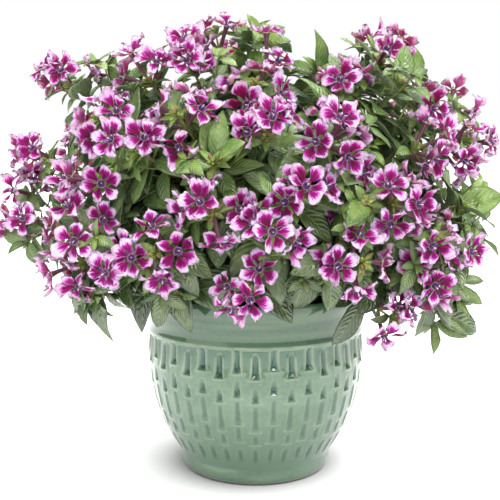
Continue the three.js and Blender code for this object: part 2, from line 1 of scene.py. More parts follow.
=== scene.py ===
import bpy
import numpy as np
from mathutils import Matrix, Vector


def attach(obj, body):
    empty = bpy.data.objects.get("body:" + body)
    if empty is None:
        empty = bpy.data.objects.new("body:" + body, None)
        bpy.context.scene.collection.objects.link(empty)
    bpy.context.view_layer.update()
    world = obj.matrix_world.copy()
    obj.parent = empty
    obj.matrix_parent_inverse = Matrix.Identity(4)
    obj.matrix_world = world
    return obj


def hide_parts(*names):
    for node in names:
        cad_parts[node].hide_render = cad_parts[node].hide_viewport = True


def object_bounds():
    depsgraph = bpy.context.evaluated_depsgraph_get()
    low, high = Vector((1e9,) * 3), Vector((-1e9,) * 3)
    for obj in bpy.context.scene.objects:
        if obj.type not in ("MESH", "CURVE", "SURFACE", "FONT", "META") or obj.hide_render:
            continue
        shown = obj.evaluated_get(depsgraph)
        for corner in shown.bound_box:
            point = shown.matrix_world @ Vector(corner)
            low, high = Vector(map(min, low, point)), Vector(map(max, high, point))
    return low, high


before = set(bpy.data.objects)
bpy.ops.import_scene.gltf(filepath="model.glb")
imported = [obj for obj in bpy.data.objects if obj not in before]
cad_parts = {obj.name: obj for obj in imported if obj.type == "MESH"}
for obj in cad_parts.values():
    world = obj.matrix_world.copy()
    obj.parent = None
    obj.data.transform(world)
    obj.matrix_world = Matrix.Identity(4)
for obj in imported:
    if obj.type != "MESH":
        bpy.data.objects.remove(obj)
cad_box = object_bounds()

# Planter: one thrown stoneware pot, its body carved with columns of gouges while leather-hard, then covered
# in a thick glossy celadon glaze that runs thin and pale on every edge and pools darker in each gouge. The
# foot's lowest edge is left bare for the kiln shelf.
MM = 0.001
WALL_KNOTS = np.array([
    (4, 0), (30, 0), (56, 0), (62.4, 0.5), (65.6, 2.4), (66.7, 6), (66.3, 10), (66.9, 14), (69.1, 18),
    (74.6, 27), (79.8, 36.4), (83.9, 45.8), (87.3, 55.1), (90.3, 64.4), (92.4, 73.7), (94.0, 83),
    (94.9, 92.3), (95.2, 101.5), (94.8, 110.7), (94.3, 117), (94.4, 121.5), (95.6, 123.6), (96.4, 125.7),
    (95.8, 127.6), (95.2, 130), (95.8, 138), (97.8, 147), (100.2, 153), (101.0, 157), (100.4, 160.1),
    (98.6, 161), (96.6, 160.4), (95.2, 157), (92.0, 147), (88.7, 128), (88.2, 88), (78, 40), (60, 9.4),
    (4, 9),
])
FOOT_KNOT = 7
NECK_KNOT = 21
RIM_KNOT = 30
CARVED_ROWS = 118
CARVED_FROM = (14, 24)
CARVED_TOP = 122.8
CARVED_RADIUS = 95
GOUGE_COLUMNS = 40
GOUGE_HALF_WIDTH = 3.0
GOUGE_SCALE = 1.06
GOUGE_POINTS = np.array([0, 1.1, 2.1, 2.9, 3.5, 4.1, 5.2])
# Each gouge's top, bottom, share of its depth that it starts with, depth, power by which its floor rises to
# the sides, a V at 1, and how strongly glaze pools in it.
HIGH_GOUGES = [
    (120.0, 99.6, 0.45, 3.0, 1.3, 1.0), (92.6, 79.8, 0.1, 2.7, 1.5, 0.9), (77.0, 55.0, 0.75, 1.5, 2.0, 0.75),
    (51.4, 41.4, 0.8, 1.4, 1.8, 0.7), (37.6, 20.6, 1.0, 1.6, 1.6, 0.75),
]
LOW_GOUGES = [
    (126.0, 105.6, 0.45, 3.0, 1.3, 1.0), (99.0, 85.8, 0.1, 2.7, 1.5, 0.9), (82.2, 61.4, 0.75, 1.5, 2.0, 0.75),
    (58.8, 44.2, 0.8, 1.4, 1.8, 0.7), (38.6, 22.8, 1.0, 1.6, 1.6, 0.75),
]
HAND_CUT = {"ends": 0.9, "width": 0.09, "depth": 0.16}
FADING_BELOW = 30
RAMP = 4.2
RAMP_SHARE = 0.32
BOWL_POWER = 2.8
FLARE = 0.34
FLARES_AT = (0.72, 0.95)
EDGE_ABOVE = 1.6
LIP_HEIGHT = 0.2
LOWER_LIP = 0.25
TOP_LIPS = (0.6, 0.3)
LIP_OFF = 0.5
LIP_WIDTH = 0.75
SCOOP_FADES = (95.0, 112.0)
SCOOP_SIDES = (9.4, 11.1)
SCOOP_DEPTH = 1.1
SCOOP_POOLING = 0.55
SCOOP_POOL = 16
BAND_RINGS_FROM = (127, 131)
BAND_RINGS_TO = (150, 155)
FOOT_RING = 11.5
FOOT_GROOVE = 9.2
BARE_EDGE = (0.9, 1.7)
DRAINS = 3
DRAIN_RADIUS = 6
DRAIN_RING = 30
FLOOR_MIDDLE = 4.5
DRILL_LENGTH = 12


def smooth_through(x, knots_x, knots_y):
    """A smooth line through the knots: a cubic between two knots, with the slope of the chords at each."""
    slope = np.gradient(knots_y, knots_x)
    i = np.clip(np.searchsorted(knots_x, x) - 1, 0, len(knots_x) - 2)
    width = knots_x[i + 1] - knots_x[i]
    t = (x - knots_x[i]) / width
    return (
        (2 * t**3 - 3 * t**2 + 1) * knots_y[i]
        + (t**3 - 2 * t**2 + t) * width * slope[i]
        + (3 * t**2 - 2 * t**3) * knots_y[i + 1]
        + (t**3 - t**2) * width * slope[i + 1]
    )


def eased(low, high, x):
    """0 below low, 1 above high, and an S-shaped step between them."""
    t = np.clip((x - low) / (high - low), 0, 1)
    return t * t * (3 - 2 * t)


def hand_cut(number, salt):
    """A repeatable number from -1 to 1 for each gouge: the broken rest of a large sine."""
    return 2 * np.abs(np.modf(np.sin(number * 12.9898 + salt) * 43758.5)[0]) - 1


def gouge_cut(gouge, number, across, scale, height, extra_lip):
    """What one gouge of a column adds to the relief, to the pools and to the lips. No two are cut quite
    alike. A gouge has a round top and nearly parallel sides. Over its last few millimetres the floor is a
    bowl that ramps up to a flat lower edge, where the sides flare. A soft lip stands round it. The lowest row
    fades out into the foot instead."""
    top, bottom, starts, depth, power, stain = gouge
    fading = bottom < FADING_BELOW
    top = top + HAND_CUT["ends"] * hand_cut(number, 0.3)
    bottom = bottom + HAND_CUT["ends"] * hand_cut(number, 1.7)
    depth = depth * (1 + HAND_CUT["depth"] * hand_cut(number, 2.9))
    t = (top - height) / (top - bottom)
    down = np.clip(t, 0, 1)
    half = GOUGE_HALF_WIDTH * scale * (0.9 + 0.1 * down + FLARE * eased(*FLARES_AT, down) * (not fading))
    half = half * (1 + HAND_CUT["width"] * hand_cut(number, 4.1))
    arch = 1 - (1 - np.clip((top - height) / GOUGE_HALF_WIDTH, 0, 1)) ** 2
    edge = half * np.sqrt(arch)
    gap = np.maximum(across - edge, np.maximum(height - top, bottom - height))
    ramp = np.minimum(RAMP, RAMP_SHARE * (top - bottom))
    power = power + (BOWL_POWER - power) * eased(1.5, 1.0, (height - bottom) / ramp) * (not fading)
    hollow = 1 - np.clip(across / np.maximum(edge, 0.1), 0, 1) ** power
    sinks = np.clip((top - height) / (top - bottom - ramp), 0, 1)
    rises = np.clip((height - bottom) / ramp, 0, 1)
    sunk = (starts + (1 - starts) * sinks**1.6) * (0.03 + 0.97 * rises)
    stands = LIP_HEIGHT + LOWER_LIP * eased(0.85, 1.0, t)
    if fading:
        sunk = np.sin(np.pi * down) ** 0.7
        stands = LIP_HEIGHT * (1 - eased(0.4, 0.9, t))
    stands = stands + extra_lip
    beside = np.exp(-(((gap - LIP_OFF) / LIP_WIDTH) ** 2))
    cut = stands * beside - depth * sunk * hollow * (gap < 0)
    inside = (gap < 0) * eased(0.0, 0.2, down)
    stripe = 1 - eased(0.2, 0.5 + 0.2 * power, across / half)
    pooled = stain * inside * stripe * (0.45 + 0.55 * sunk)
    return cut, pooled, beside * np.clip(2 * stands - 0.15, 0, 1)


def carving(turn, radius, height):
    """How far the clay stands off the turned wall, in mm, and from 0 to 1, how thickly glaze pools and how
    near the lip of a gouge is. Columns of high and of low gouges take turns round the pot. The high ones lie
    in scoops that are deepest under the band and fade out downwards."""
    pitch = 2 * np.pi / GOUGE_COLUMNS
    scale = radius / WALL_KNOTS[:, 0].max() * GOUGE_SCALE
    relief = np.zeros(np.broadcast(turn, radius).shape)
    pool = np.zeros(relief.shape)
    lip = np.zeros(relief.shape)
    for offset, gouges in enumerate((HIGH_GOUGES, LOW_GOUGES)):
        place = turn / pitch + 1 - offset
        across = np.abs((place % 2 - 1) * pitch * radius)
        column = np.floor(place / 2) % (GOUGE_COLUMNS // 2)
        if gouges is HIGH_GOUGES:
            scoop = 1 - eased(*SCOOP_SIDES, across)
            scoop = scoop * eased(*SCOOP_FADES, height) * (height < CARVED_TOP)
            relief -= SCOOP_DEPTH * scoop
            pool = SCOOP_POOLING * scoop * eased(CARVED_TOP - SCOOP_POOL, CARVED_TOP, height)
        for row, gouge in enumerate(gouges):
            number = column + 37 * row + 211 * offset
            extra_lip = TOP_LIPS[offset] if row == 0 else 0.0
            cut, pooled, beside = gouge_cut(gouge, number, across, scale, height, extra_lip)
            relief += cut
            pool = np.maximum(pool, pooled)
            lip = np.maximum(lip, beside)
    return relief, pool, lip


def skins(places, finish=0, **values):
    """Closed skins from an array of skins x rings x points x 3 in mm: each ring is joined to the next one,
    and the first and last are closed by a flat face. Every named value has one number for each vertex, ring
    or skin. Quads start one corner later on the far half of a ring, so that both sides of a thin blade are
    split alike."""
    count, rings, points = places.shape[:3]
    ring = np.arange(points)
    after = (ring + 1) % points
    start = np.arange(rings - 1)[:, None] * points
    quads = np.stack([start + ring, start + after, start + points + after, start + points + ring], -1)
    far = np.cos(2 * np.pi * (ring + 0.5) / points) < -0.001
    quads = np.where(far[:, None], np.roll(quads, -1, axis=-1), quads)
    ends = np.stack([ring[::-1], (rings - 1) * points + ring])
    shift = np.arange(count)[:, None, None] * rings * points
    full = {}
    for name, value in values.items():
        value = np.asarray(value, float)
        value = value.reshape(value.shape + (1,) * (3 - value.ndim))
        full[name] = np.broadcast_to(value, (count, rings, points)).ravel()
    return {
        "places": places.reshape(-1, 3),
        "quads": (quads.reshape(1, -1, 4) + shift).reshape(-1, 4),
        "ends": (ends[None] + shift).reshape(-1, points),
        "finish": finish,
        "values": full,
    }


def make_piece(name, parts, finishes, replaced=()):
    """One object from several sets of skins, in metres, which rides with the body of the part."""
    mesh = bpy.data.meshes.new(name)
    base = np.cumsum([0] + [len(p["places"]) for p in parts])
    places = np.concatenate([p["places"] for p in parts]) * MM
    faces = [f for p, b in zip(parts, base) for f in (p["quads"] + b).tolist() + (p["ends"] + b).tolist()]
    which = np.concatenate([np.full(len(p["quads"]) + len(p["ends"]), p["finish"]) for p in parts])
    mesh.from_pydata(places.tolist(), [], faces)
    for key in sorted({key for p in parts for key in p["values"]}):
        layer = mesh.attributes.new(key, "FLOAT", "POINT")
        column = [p["values"].get(key, np.zeros(len(p["places"]))) for p in parts]
        layer.data.foreach_set("value", np.concatenate(column).astype(np.float32))
    for material in finishes:
        mesh.materials.append(material)
    mesh.polygons.foreach_set("material_index", which.astype(np.int32))
    mesh.polygons.foreach_set("use_smooth", np.ones(len(faces), bool))
    mesh.update()
    piece = bpy.data.objects.new(name, mesh)
    bpy.context.scene.collection.objects.link(piece)
    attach(piece, "root")
    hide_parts(*replaced)
    return piece


def throwing_lines(turn, z):
    """Rings left by the hand on the wheel, in mm: two drifting sine waves up the thrown band, and a ring over
    a groove above the foot."""
    rings = 0.016 * np.sin(2 * np.pi * z / 5.3 + 3 * np.sin(z / 6))
    rings = rings + 0.006 * np.sin(2 * np.pi * z / 2.3 + turn)
    rings = rings * eased(*BAND_RINGS_FROM, z) * (1 - eased(*BAND_RINGS_TO, z))
    ring = 0.2 * np.exp(-(((z - FOOT_RING) / 1.1) ** 2))
    groove = 0.16 * np.exp(-(((z - FOOT_GROOVE) / 0.8) ** 2))
    return rings + (ring - groove)


def wall_steps(length, height):
    """Where the skin's rings lie along the outline: evenly spaced, but closer together round each level edge
    of the carving."""
    foot, neck, rim = length[[FOOT_KNOT, NECK_KNOT, RIM_KNOT]]
    trial = np.linspace(foot, neck, 900)[1:-1]
    level = smooth_through(trial, length, height)
    lower_edges = [bottom + EDGE_ABOVE for _, bottom, *_ in HIGH_GOUGES[:-1] + LOW_GOUGES[:-1]]
    edges = np.array([CARVED_TOP] + lower_edges)
    wanted = np.cumsum(0.7 + np.exp(-(((level[:, None] - edges) / 1.9) ** 2)).sum(1))
    carved = np.interp(np.linspace(wanted[0], wanted[-1], CARVED_ROWS), wanted, trial)
    plain = [np.linspace(0, foot, 12), np.linspace(neck, rim, 22), np.linspace(rim, length[-1], 12)[1:]]
    return np.sort(np.concatenate([carved, *plain]))


def planter_skin():
    """The wall's outline, turned round the axis: radius and height are smooth in the length along the
    outline. Outside, the carving, the throwing lines and a slight wobble of the whole pot are added to the
    radius. Columns of points lie closer together where a gouge has a side."""
    radius, height = WALL_KNOTS.T
    length = np.append(0, np.cumsum(np.hypot(np.diff(radius), np.diff(height))))
    along = wall_steps(length, height)[:, None]
    r = smooth_through(along, length, radius)
    z = np.maximum(smooth_through(along, length, height), 0)
    half_pitch = np.pi * CARVED_RADIUS / GOUGE_COLUMNS
    column = np.concatenate([-GOUGE_POINTS[:0:-1], GOUGE_POINTS, [half_pitch]]) / (2 * half_pitch)
    turn = 2 * np.pi * (np.arange(GOUGE_COLUMNS)[:, None] + column).ravel()[None] / GOUGE_COLUMNS
    outside = (along > length[FOOT_KNOT]) & (along < length[RIM_KNOT])
    relief, pool, lip = carving(turn, r, z)
    carves = outside * eased(*CARVED_FROM, z) * (1 - eased(CARVED_TOP, CARVED_TOP + EDGE_ABOVE, z))
    relief = relief * carves
    wobble = 0.18 * np.sin(2 * turn + 0.6) * np.sin(z / 37) + 0.12 * np.sin(5 * turn + z / 21)
    r = r + relief + (throwing_lines(turn, z) + wobble * eased(3, 12, z)) * outside
    z = np.broadcast_to(z, r.shape)
    angle = turn - np.pi / 2
    places = np.stack([r * np.cos(angle), r * np.sin(angle), z], -1)
    return skins(places[None], relief=relief[None], pool=(pool * carves)[None], lip=(lip * carves)[None],
                 height=z[None])


def tone(red, green, blue):
    """The linear colour of a tone that is read off a screen as 0 to 255."""
    screen = np.array([red, green, blue]) / 255
    linear = np.where(screen <= 0.04045, screen / 12.92, ((screen + 0.055) / 1.055) ** 2.4)
    return (*linear.tolist(), 1.0)


def new_finish(name, **sockets):
    """A material with its Principled surface, whose plain sockets are set by name."""
    material = bpy.data.materials.new(name)
    material.use_nodes = True
    surface = material.node_tree.nodes["Principled BSDF"]
    for socket, value in sockets.items():
        surface.inputs[socket.replace("_", " ")].default_value = value
    return material, material.node_tree, surface


def feed(tree, value, socket):
    """Joins a socket to another, or sets it to a value."""
    if isinstance(value, bpy.types.NodeSocket):
        tree.links.new(value, socket)
    else:
        socket.default_value = value


def read(tree, name):
    """The value that the mesh holds under this name."""
    node = tree.nodes.new("ShaderNodeAttribute")
    node.attribute_name = name
    return node.outputs["Fac"]


def sums(tree, operation, *terms):
    """One step of arithmetic."""
    node = tree.nodes.new("ShaderNodeMath")
    node.operation = operation
    for term, socket in zip(terms, node.inputs):
        feed(tree, term, socket)
    return node.outputs[0]


def times(tree, first, second):
    """The product of two values."""
    return sums(tree, "MULTIPLY", first, second)


def plus(tree, first, second):
    """The sum of two values."""
    return sums(tree, "ADD", first, second)


def less(tree, first, second):
    """The first value less the second."""
    return sums(tree, "SUBTRACT", first, second)


def stepped(tree, value, low, high, start=0.0, end=1.0):
    """start below low, end above high, and an S-shaped step between them."""
    node = tree.nodes.new("ShaderNodeMapRange")
    node.interpolation_type = "SMOOTHSTEP"
    for term, socket in zip((value, low, high, start, end), node.inputs):
        feed(tree, term, socket)
    return node.outputs[0]


def blended(tree, share, first, second):
    """A colour between two others, by a share from 0 to 1."""
    node = tree.nodes.new("ShaderNodeMix")
    node.data_type = "RGBA"
    feed(tree, share, node.inputs[0])
    feed(tree, first, node.inputs[6])
    feed(tree, second, node.inputs[7])
    return node.outputs[2]


def cloudy(tree, scale, stretch=(1, 1, 1), detail=3.0, vector=None):
    """Soft noise from 0 to 1 in the object's own space, with scale in waves a metre."""
    mapping = tree.nodes.new("ShaderNodeMapping")
    mapping.inputs["Scale"].default_value = stretch
    if vector is None:
        vector = tree.nodes.new("ShaderNodeTexCoord").outputs["Object"]
    tree.links.new(vector, mapping.inputs["Vector"])
    noise = tree.nodes.new("ShaderNodeTexNoise")
    tree.links.new(mapping.outputs[0], noise.inputs["Vector"])
    feed(tree, scale, noise.inputs["Scale"])
    noise.inputs["Detail"].default_value = detail
    return noise.outputs[0]


def raised(tree, surface, height, depth, strength=1.0):
    """Bumps of a real depth in metres, from a height of 0 to 1."""
    bump = tree.nodes.new("ShaderNodeBump")
    bump.inputs["Strength"].default_value = strength
    bump.inputs["Distance"].default_value = depth
    tree.links.new(height, bump.inputs["Height"])
    tree.links.new(bump.outputs[0], surface.inputs["Normal"])


def celadon():
    """Glaze over clay: green where it lies even, bluer where it pools in the gouges, darker in the scoops,
    pale on raised edges, with a painted highlight along the bead under the band, streaked sideways in the
    thrown band, and bare brown clay at the foot's lowest edge."""
    finish, tree, surface = new_finish("celadon_glaze", Roughness=0.1, Coat_Weight=0.7, Coat_Roughness=0.03)
    relief = read(tree, "relief")
    height = read(tree, "height")
    pool = read(tree, "pool")
    mottle = cloudy(tree, 24, (1, 1, 2.2), 5.0)
    grain = stepped(tree, cloudy(tree, 330, detail=5.0), 0.35, 0.65)
    patches = blended(tree, stepped(tree, mottle, 0.3, 0.7), tone(76, 109, 85), tone(100, 129, 105))
    body = blended(tree, times(tree, grain, 0.32), patches, tone(118, 130, 104))
    streaks = cloudy(tree, 34, (0.3, 0.3, 5), 6.0)
    wiped = blended(tree, stepped(tree, streaks, 0.3, 0.7), tone(55, 89, 67), tone(82, 108, 81))
    band = blended(tree, times(tree, grain, 0.16), wiped, tone(104, 113, 86))
    even = blended(tree, stepped(tree, height, 123, 128), body, band)
    over_foot = stepped(tree, height, 4, 26, 0.1, 1.0)
    lower = times(tree, stepped(tree, height, 30, 90, 1.0, 0.0), over_foot)
    low = blended(tree, lower, even, tone(77, 105, 81))
    deep = blended(tree, stepped(tree, relief, -1.7, -0.5, 0.55, 0.0), low, tone(42, 82, 62))
    thick = blended(tree, stepped(tree, pool, 0.45, 0.85), tone(44, 88, 66), tone(12, 72, 68))
    pooling = blended(tree, stepped(tree, height, 60, 104), tone(54, 84, 66), thick)
    pooled = blended(tree, times(tree, pool, 0.96), deep, pooling)
    worn = stepped(tree, cloudy(tree, 70, detail=4.0), 0.36, 0.6, 0.35, 1.0)
    lipped = times(tree, read(tree, "lip"), stepped(tree, height, 62, 96, 0.42, 0.66))
    thin = blended(tree, times(tree, lipped, worn), pooled, tone(150, 160, 136))
    # The bead under the band gets a pale line by height. It is partly glaze run thin on the raised edge and
    # partly a painted highlight.
    over_bead = stepped(tree, height, 125.8, 127.4, 0.6, 0.0)
    bead_thin_glaze_and_highlight = times(tree, stepped(tree, height, 124, 125.4), over_bead)
    edged = blended(tree, times(tree, bead_thin_glaze_and_highlight, worn), thin, tone(142, 150, 126))
    bare = blended(tree, stepped(tree, height, *BARE_EDGE, 1.0, 0.0), edged, tone(124, 84, 62))
    tree.links.new(bare, surface.inputs["Base Color"])
    tree.links.new(stepped(tree, height, *BARE_EDGE, 0.85, 0.1), surface.inputs["Roughness"])
    raised(tree, surface, cloudy(tree, 90, (1, 1, 1.6), 3.0), 0.0005, 0.4)
    return finish


def drill_drains(piece):
    """Cuts the drain holes, evenly spaced in a ring, right through the floor."""
    for i in range(DRAINS):
        angle = 2 * np.pi * i / DRAINS
        place = (DRAIN_RING * MM * np.cos(angle), DRAIN_RING * MM * np.sin(angle), FLOOR_MIDDLE * MM)
        bpy.ops.mesh.primitive_cylinder_add(
            vertices=32, radius=DRAIN_RADIUS * MM, depth=DRILL_LENGTH * MM, location=place)
        cutter = bpy.context.object
        cut = piece.modifiers.new("drain", "BOOLEAN")
        cut.operation = "DIFFERENCE"
        cut.object = cutter
        bpy.context.view_layer.objects.active = piece
        bpy.ops.object.modifier_apply(modifier=cut.name)
        bpy.data.objects.remove(cutter)


planter = make_piece("planter_glazed", [planter_skin()], [celadon()], ["planter"])
drill_drains(planter)

# Potting soil: dark peat mix with lumps, bark chips and a few pale grains of perlite, filled to a finger's
# breadth under the rim. It lies loose in the planter and holds the woody base of every clump.
SOIL_TOP = 149.4
SOIL_RADIUS = 91.0
# Each wave's height, its length over two pi, and the way that it runs.
SOIL_WAVES = [(1.1, 17, 0.4), (0.9, 11, 1.9), (0.6, 5.1, 2.7), (0.5, 3.7, 0.9), (0.4, 2.3, 2.2)]
# Crumbs, bark chips and perlite: how many, their least and greatest radius, flatness and grain value.
LUMPS = [(520, (1.2, 4.2), 0.8, 0.1), (60, (2.5, 6.5), 0.25, 0.5), (45, (1.0, 2.2), 0.9, 1.0)]
soil_draw = np.random.default_rng(5)


def soil_skin():
    """A disc whose height is the sum of a few slow waves and of fine ones, with a plain side and bottom."""
    share = np.concatenate([np.linspace(0.02, 1, 32), [1.0, 0.985, 0.02]])[:, None]
    turn = 2 * np.pi * np.arange(110) / 110
    radius = share * SOIL_RADIUS + 0 * turn
    x = radius * np.cos(turn)
    y = radius * np.sin(turn)
    waves = sum(
        size * np.sin(x * np.cos(way) / wide + y * np.sin(way) / wide + way * 7)
        for size, wide, way in SOIL_WAVES
    )
    z = SOIL_TOP - 1.5 + waves * (1 - 0.6 * share**6)
    z[-3:] = [[SOIL_TOP - 9], [12.0], [11.0]]
    radius[-2] *= 0.66
    places = np.stack([radius * np.cos(turn), radius * np.sin(turn), z], -1)[::-1]
    return skins(places[None], grain=0.0)


def lumps(count, sizes, flatness, grain):
    """Rough closed lumps lying on the soil: small rings whose radius is a half circle with random dents,
    turned and tilted at random."""
    along = np.array([-0.92, -0.45, 0.35, 0.9])
    turn = 2 * np.pi * np.arange(6) / 6
    spread = SOIL_RADIUS * 0.97 * np.sqrt(soil_draw.random(count))
    azimuth = 2 * np.pi * soil_draw.random(count)
    size = sizes[0] + (sizes[1] - sizes[0]) * soil_draw.random(count) ** 2
    dent = 1 + 0.35 * (soil_draw.random((count, 4, 6)) - 0.5)
    ring = np.sqrt(1 - along**2)[None, :, None] * dent
    spin = 2 * np.pi * soil_draw.random((count, 1, 1))
    x = ring * np.cos(turn)
    y = ring * np.sin(turn) * (0.55 + 0.45 * soil_draw.random((count, 1, 1)))
    z = along[None, :, None] * flatness + 0 * x
    tilt = 0.9 * (soil_draw.random((count, 1, 1)) - 0.5)
    x, z = x * np.cos(tilt) - z * np.sin(tilt), x * np.sin(tilt) + z * np.cos(tilt)
    x, y = x * np.cos(spin) - y * np.sin(spin), x * np.sin(spin) + y * np.cos(spin)
    height = np.full(count, SOIL_TOP - 0.8)
    middle = np.stack([spread * np.cos(azimuth), spread * np.sin(azimuth), height], -1)
    places = np.stack([x, y, z], -1) * size[:, None, None, None] + middle[:, None, None]
    return skins(places, grain=grain)


def peat():
    """Peat, bark or perlite by the grain value, mottled, rough and without shine."""
    finish, tree, surface = new_finish("moist_peat", Roughness=0.95)
    grain = read(tree, "grain")
    dark = blended(tree, cloudy(tree, 420), tone(20, 14, 10), tone(62, 44, 32))
    bark = blended(tree, stepped(tree, grain, 0.3, 0.4), dark, tone(96, 66, 44))
    pale = blended(tree, stepped(tree, grain, 0.8, 0.9), bark, tone(206, 200, 188))
    tree.links.new(pale, surface.inputs["Base Color"])
    raised(tree, surface, cloudy(tree, 900, detail=4.0), 0.0006)
    return finish


soil_parts = [soil_skin(), *[lumps(*kind) for kind in LUMPS]]
make_piece("potting_soil_loose", soil_parts, [peat()], ["potting_soil"])

# Growth of the plant: where every shoot, bloom and leaf stands, each one clear of those before it. A clump is
# its root on the soil and the heads of its shoots, as x, y, z in mm and the number of blooms. A head with no
# blooms is a leafy tip, with the way it points after it.
CLUMPS = {
    "left_low": ((-55, -25), [
        (-200, -40, 220, 3), (-150, -120, 220, 4), (-150, -100, 190, 3), (-190, -35, 280, 3),
        (-130, -95, 172, 0, -0.5, -0.5, -0.7)]),
    "left_top": ((-38, 0), [
        (-170, -25, 345, 3), (-95, -60, 350, 3), (-125, -90, 310, 4), (-135, -110, 262, 5)]),
    "front_left_low": ((-36, -50), [
        (-105, -138, 200, 3), (-75, -150, 208, 4), (-35, -155, 240, 5),
        (-64, -108, 180, 0, -0.1, -0.6, -0.8)]),
    "front_left": ((-14, -26), [
        (-100, -125, 290, 3), (-60, -125, 312, 4), (-55, -70, 360, 3),
        (-30, -130, 272, 0, -0.1, -0.9, 0.3)]),
    "middle": ((2, 4), [
        (-35, -15, 385, 2), (10, -60, 365, 1), (0, -105, 335, 4), (-6, -12, 372, 0, 0, -0.1, 1)]),
    "front": ((6, -58), [
        (10, -140, 303, 3), (35, -155, 252, 3), (12, -165, 228, 3), (-8, -158, 182, 3),
        (55, -118, 190, 0, 0.1, -0.5, -0.8)]),
    "front_right": ((30, -30), [
        (60, -140, 297, 5), (68, -128, 268, 2), (75, -85, 340, 2), (115, -130, 245, 5),
        (80, -128, 244, 0, 0.2, -0.9, 0.1)]),
    "right_top": ((40, 2), [
        (115, -25, 368, 5), (150, -40, 325, 4), (140, -90, 290, 3), (180, -45, 290, 4),
        (112, -62, 330, 0, 0.6, -0.4, 0.7)]),
    "right_low": ((54, -34), [
        (80, -150, 200, 4), (140, -120, 217, 2), (150, -105, 182, 4), (110, -112, 150, 2),
        (165, -55, 235, 0, 0.9, -0.3, 0.1), (150, -60, 205, 0, 0.9, -0.2, -0.2)]),
    "back_left": ((-40, 36), [
        (-170, 55, 290, 4), (-125, 105, 235, 4), (-165, 70, 200, 3), (-95, 95, 325, 4),
        (-110, 60, 190, 0, -0.6, 0.6, -0.5)]),
    "back": ((0, 52), [
        (-50, 145, 255, 4), (-25, 70, 365, 3), (25, 125, 310, 4), (20, 150, 205, 4),
        (50, 110, 225, 0, 0.4, 0.8, 0.1)]),
    "back_right": ((40, 38), [
        (75, 70, 350, 3), (165, 50, 250, 4), (90, 135, 250, 4), (140, 80, 310, 3), (110, 85, 195, 3),
        (175, 20, 215, 0, 0.9, 0.1, -0.3)]),
}
UP = np.array([0.0, 0.0, 1.0])
HEART = np.array([0.0, 0.0, 215.0])
RIM_RADIUS = 101
BODY_RADIUS = 96
RIM_HEIGHT = 161
BAND_FOOT = 118
INSIDE_RADIUS = 88
ABOVE_SOIL = 153
RIM_SPACE = 5
CROWN_SPREAD = 4.4
SHOOT_START = 151
SHOOT_RISE = 0.42
SHOOT_BEND = 0.38
BULGE = 5
SPRAY_REACH = 30
SPRAY_BODIES = 100
BLOOM_RADIUS = 15
CALYX_LENGTH = 24
BLOOM_NODE = 7.3
AXIS_ABOVE = 8
NODE_HALF = 1.3
LEAF_LENGTH = 56
LEAF_WIDTH = 0.4
STALK_SHARE = 0.1
STEM_SPACE = {"others": 5.5, "own": 4.4}
BLOOM_SPACE = {"others": 5.6, "own": 3.6}
LEAF_SPACE = {"others": 5.6, "own": 5.6}
TRIES = 120
LEAF_TRIES = 60
# By the number of blooms in a spray: the quarters that they stand in, with -1 for the one that ends the axis.
BLOOM_SIDES = ((), (-1,), (0, 2), (-1, 0, 2), (0, 1, 2, 3), (-1, 0, 1, 2, 3))
# And how far those round the axis are tilted from it, in degrees.
BLOOM_TILTS = (0, 0, 34, 44, 50, 54)
CENTRAL_TILT = 8
# How far below the shoot's end each pair of leaves stands, its size and its tilt in degrees.
PAIRS_UNDER_BLOOMS = ((9, 0.8, 66), (34, 1.05, 60), (66, 1.1, 62))
PAIRS_AT_TIP = ((NODE_HALF, 0.72, 24), (12, 0.9, 46), (36, 1.05, 60), (66, 1.1, 66))
LEAFY_SHARE = 0.55
PRIME = 2147483647
taken = {kind: (np.empty((0, 3)), np.empty(0, int)) for kind in ("stem", "bloom", "leaf")}


def draws(number):
    """A repeatable row of numbers from 0 to 1, one row for each shoot: each is the one before it times a
    constant, modulo a large prime, over that prime."""
    state = (number * 48271 + 11) % PRIME
    while True:
        state = (state * 16807) % PRIME
        yield state / PRIME


def unit(vector):
    """The vector at length 1."""
    return vector / np.linalg.norm(vector, axis=-1, keepdims=True)


def across(direction, hint):
    """The hint less its share along the direction, at length 1."""
    return unit(hint - direction * (direction @ hint))


def take(kind, points, body):
    """Marks points as taken by a body."""
    spots, bodies = taken[kind]
    taken[kind] = (np.vstack([spots, points]), np.append(bodies, np.full(len(points), body)))


def room(kind, space, middle=None, reach=0.0):
    """The taken points of a kind, or those within reach of a middle, with the space that they ask for."""
    spots, bodies = taken[kind]
    if middle is not None:
        near = ((spots - middle) ** 2).sum(1) < (reach + space["others"]) ** 2
        spots, bodies = spots[near], bodies[near]
    return spots, bodies, space


def clear_of_pot(p):
    """True where a point is over the rim, inside above the soil, or outside the wall."""
    radius = np.hypot(p[:, 0], p[:, 1])
    over = p[:, 2] > RIM_HEIGHT + RIM_SPACE
    inside = (radius < INSIDE_RADIUS) & (p[:, 2] > ABOVE_SOIL)
    outside = radius > np.where(p[:, 2] > BAND_FOOT, RIM_RADIUS, BODY_RADIUS) + RIM_SPACE
    return over | inside | outside


def is_clear(points, body, *rooms):
    """True where every point is clear of the pot and keeps its space from every taken point."""
    if not clear_of_pot(points).all():
        return False
    for spots, bodies, space in rooms:
        gaps = ((points[:, None] - spots[None]) ** 2).sum(2)
        needed = np.where(bodies == body, space["own"], space["others"]) ** 2
        if (gaps < needed).any():
            return False
    return True


def cubic(start, ahead, behind, end, count):
    """A cubic curve of some points that leaves the start towards a second point and comes to the end from a
    third."""
    t = np.linspace(0, 1, count)[:, None]
    return (1 - t) ** 3 * start + 3 * (1 - t) ** 2 * t * ahead + 3 * (1 - t) * t**2 * behind + t**3 * end


def lengths_along(path):
    """How far each point of a path lies from its start."""
    return np.append(0, np.cumsum(np.linalg.norm(np.diff(path, axis=0), axis=1)))


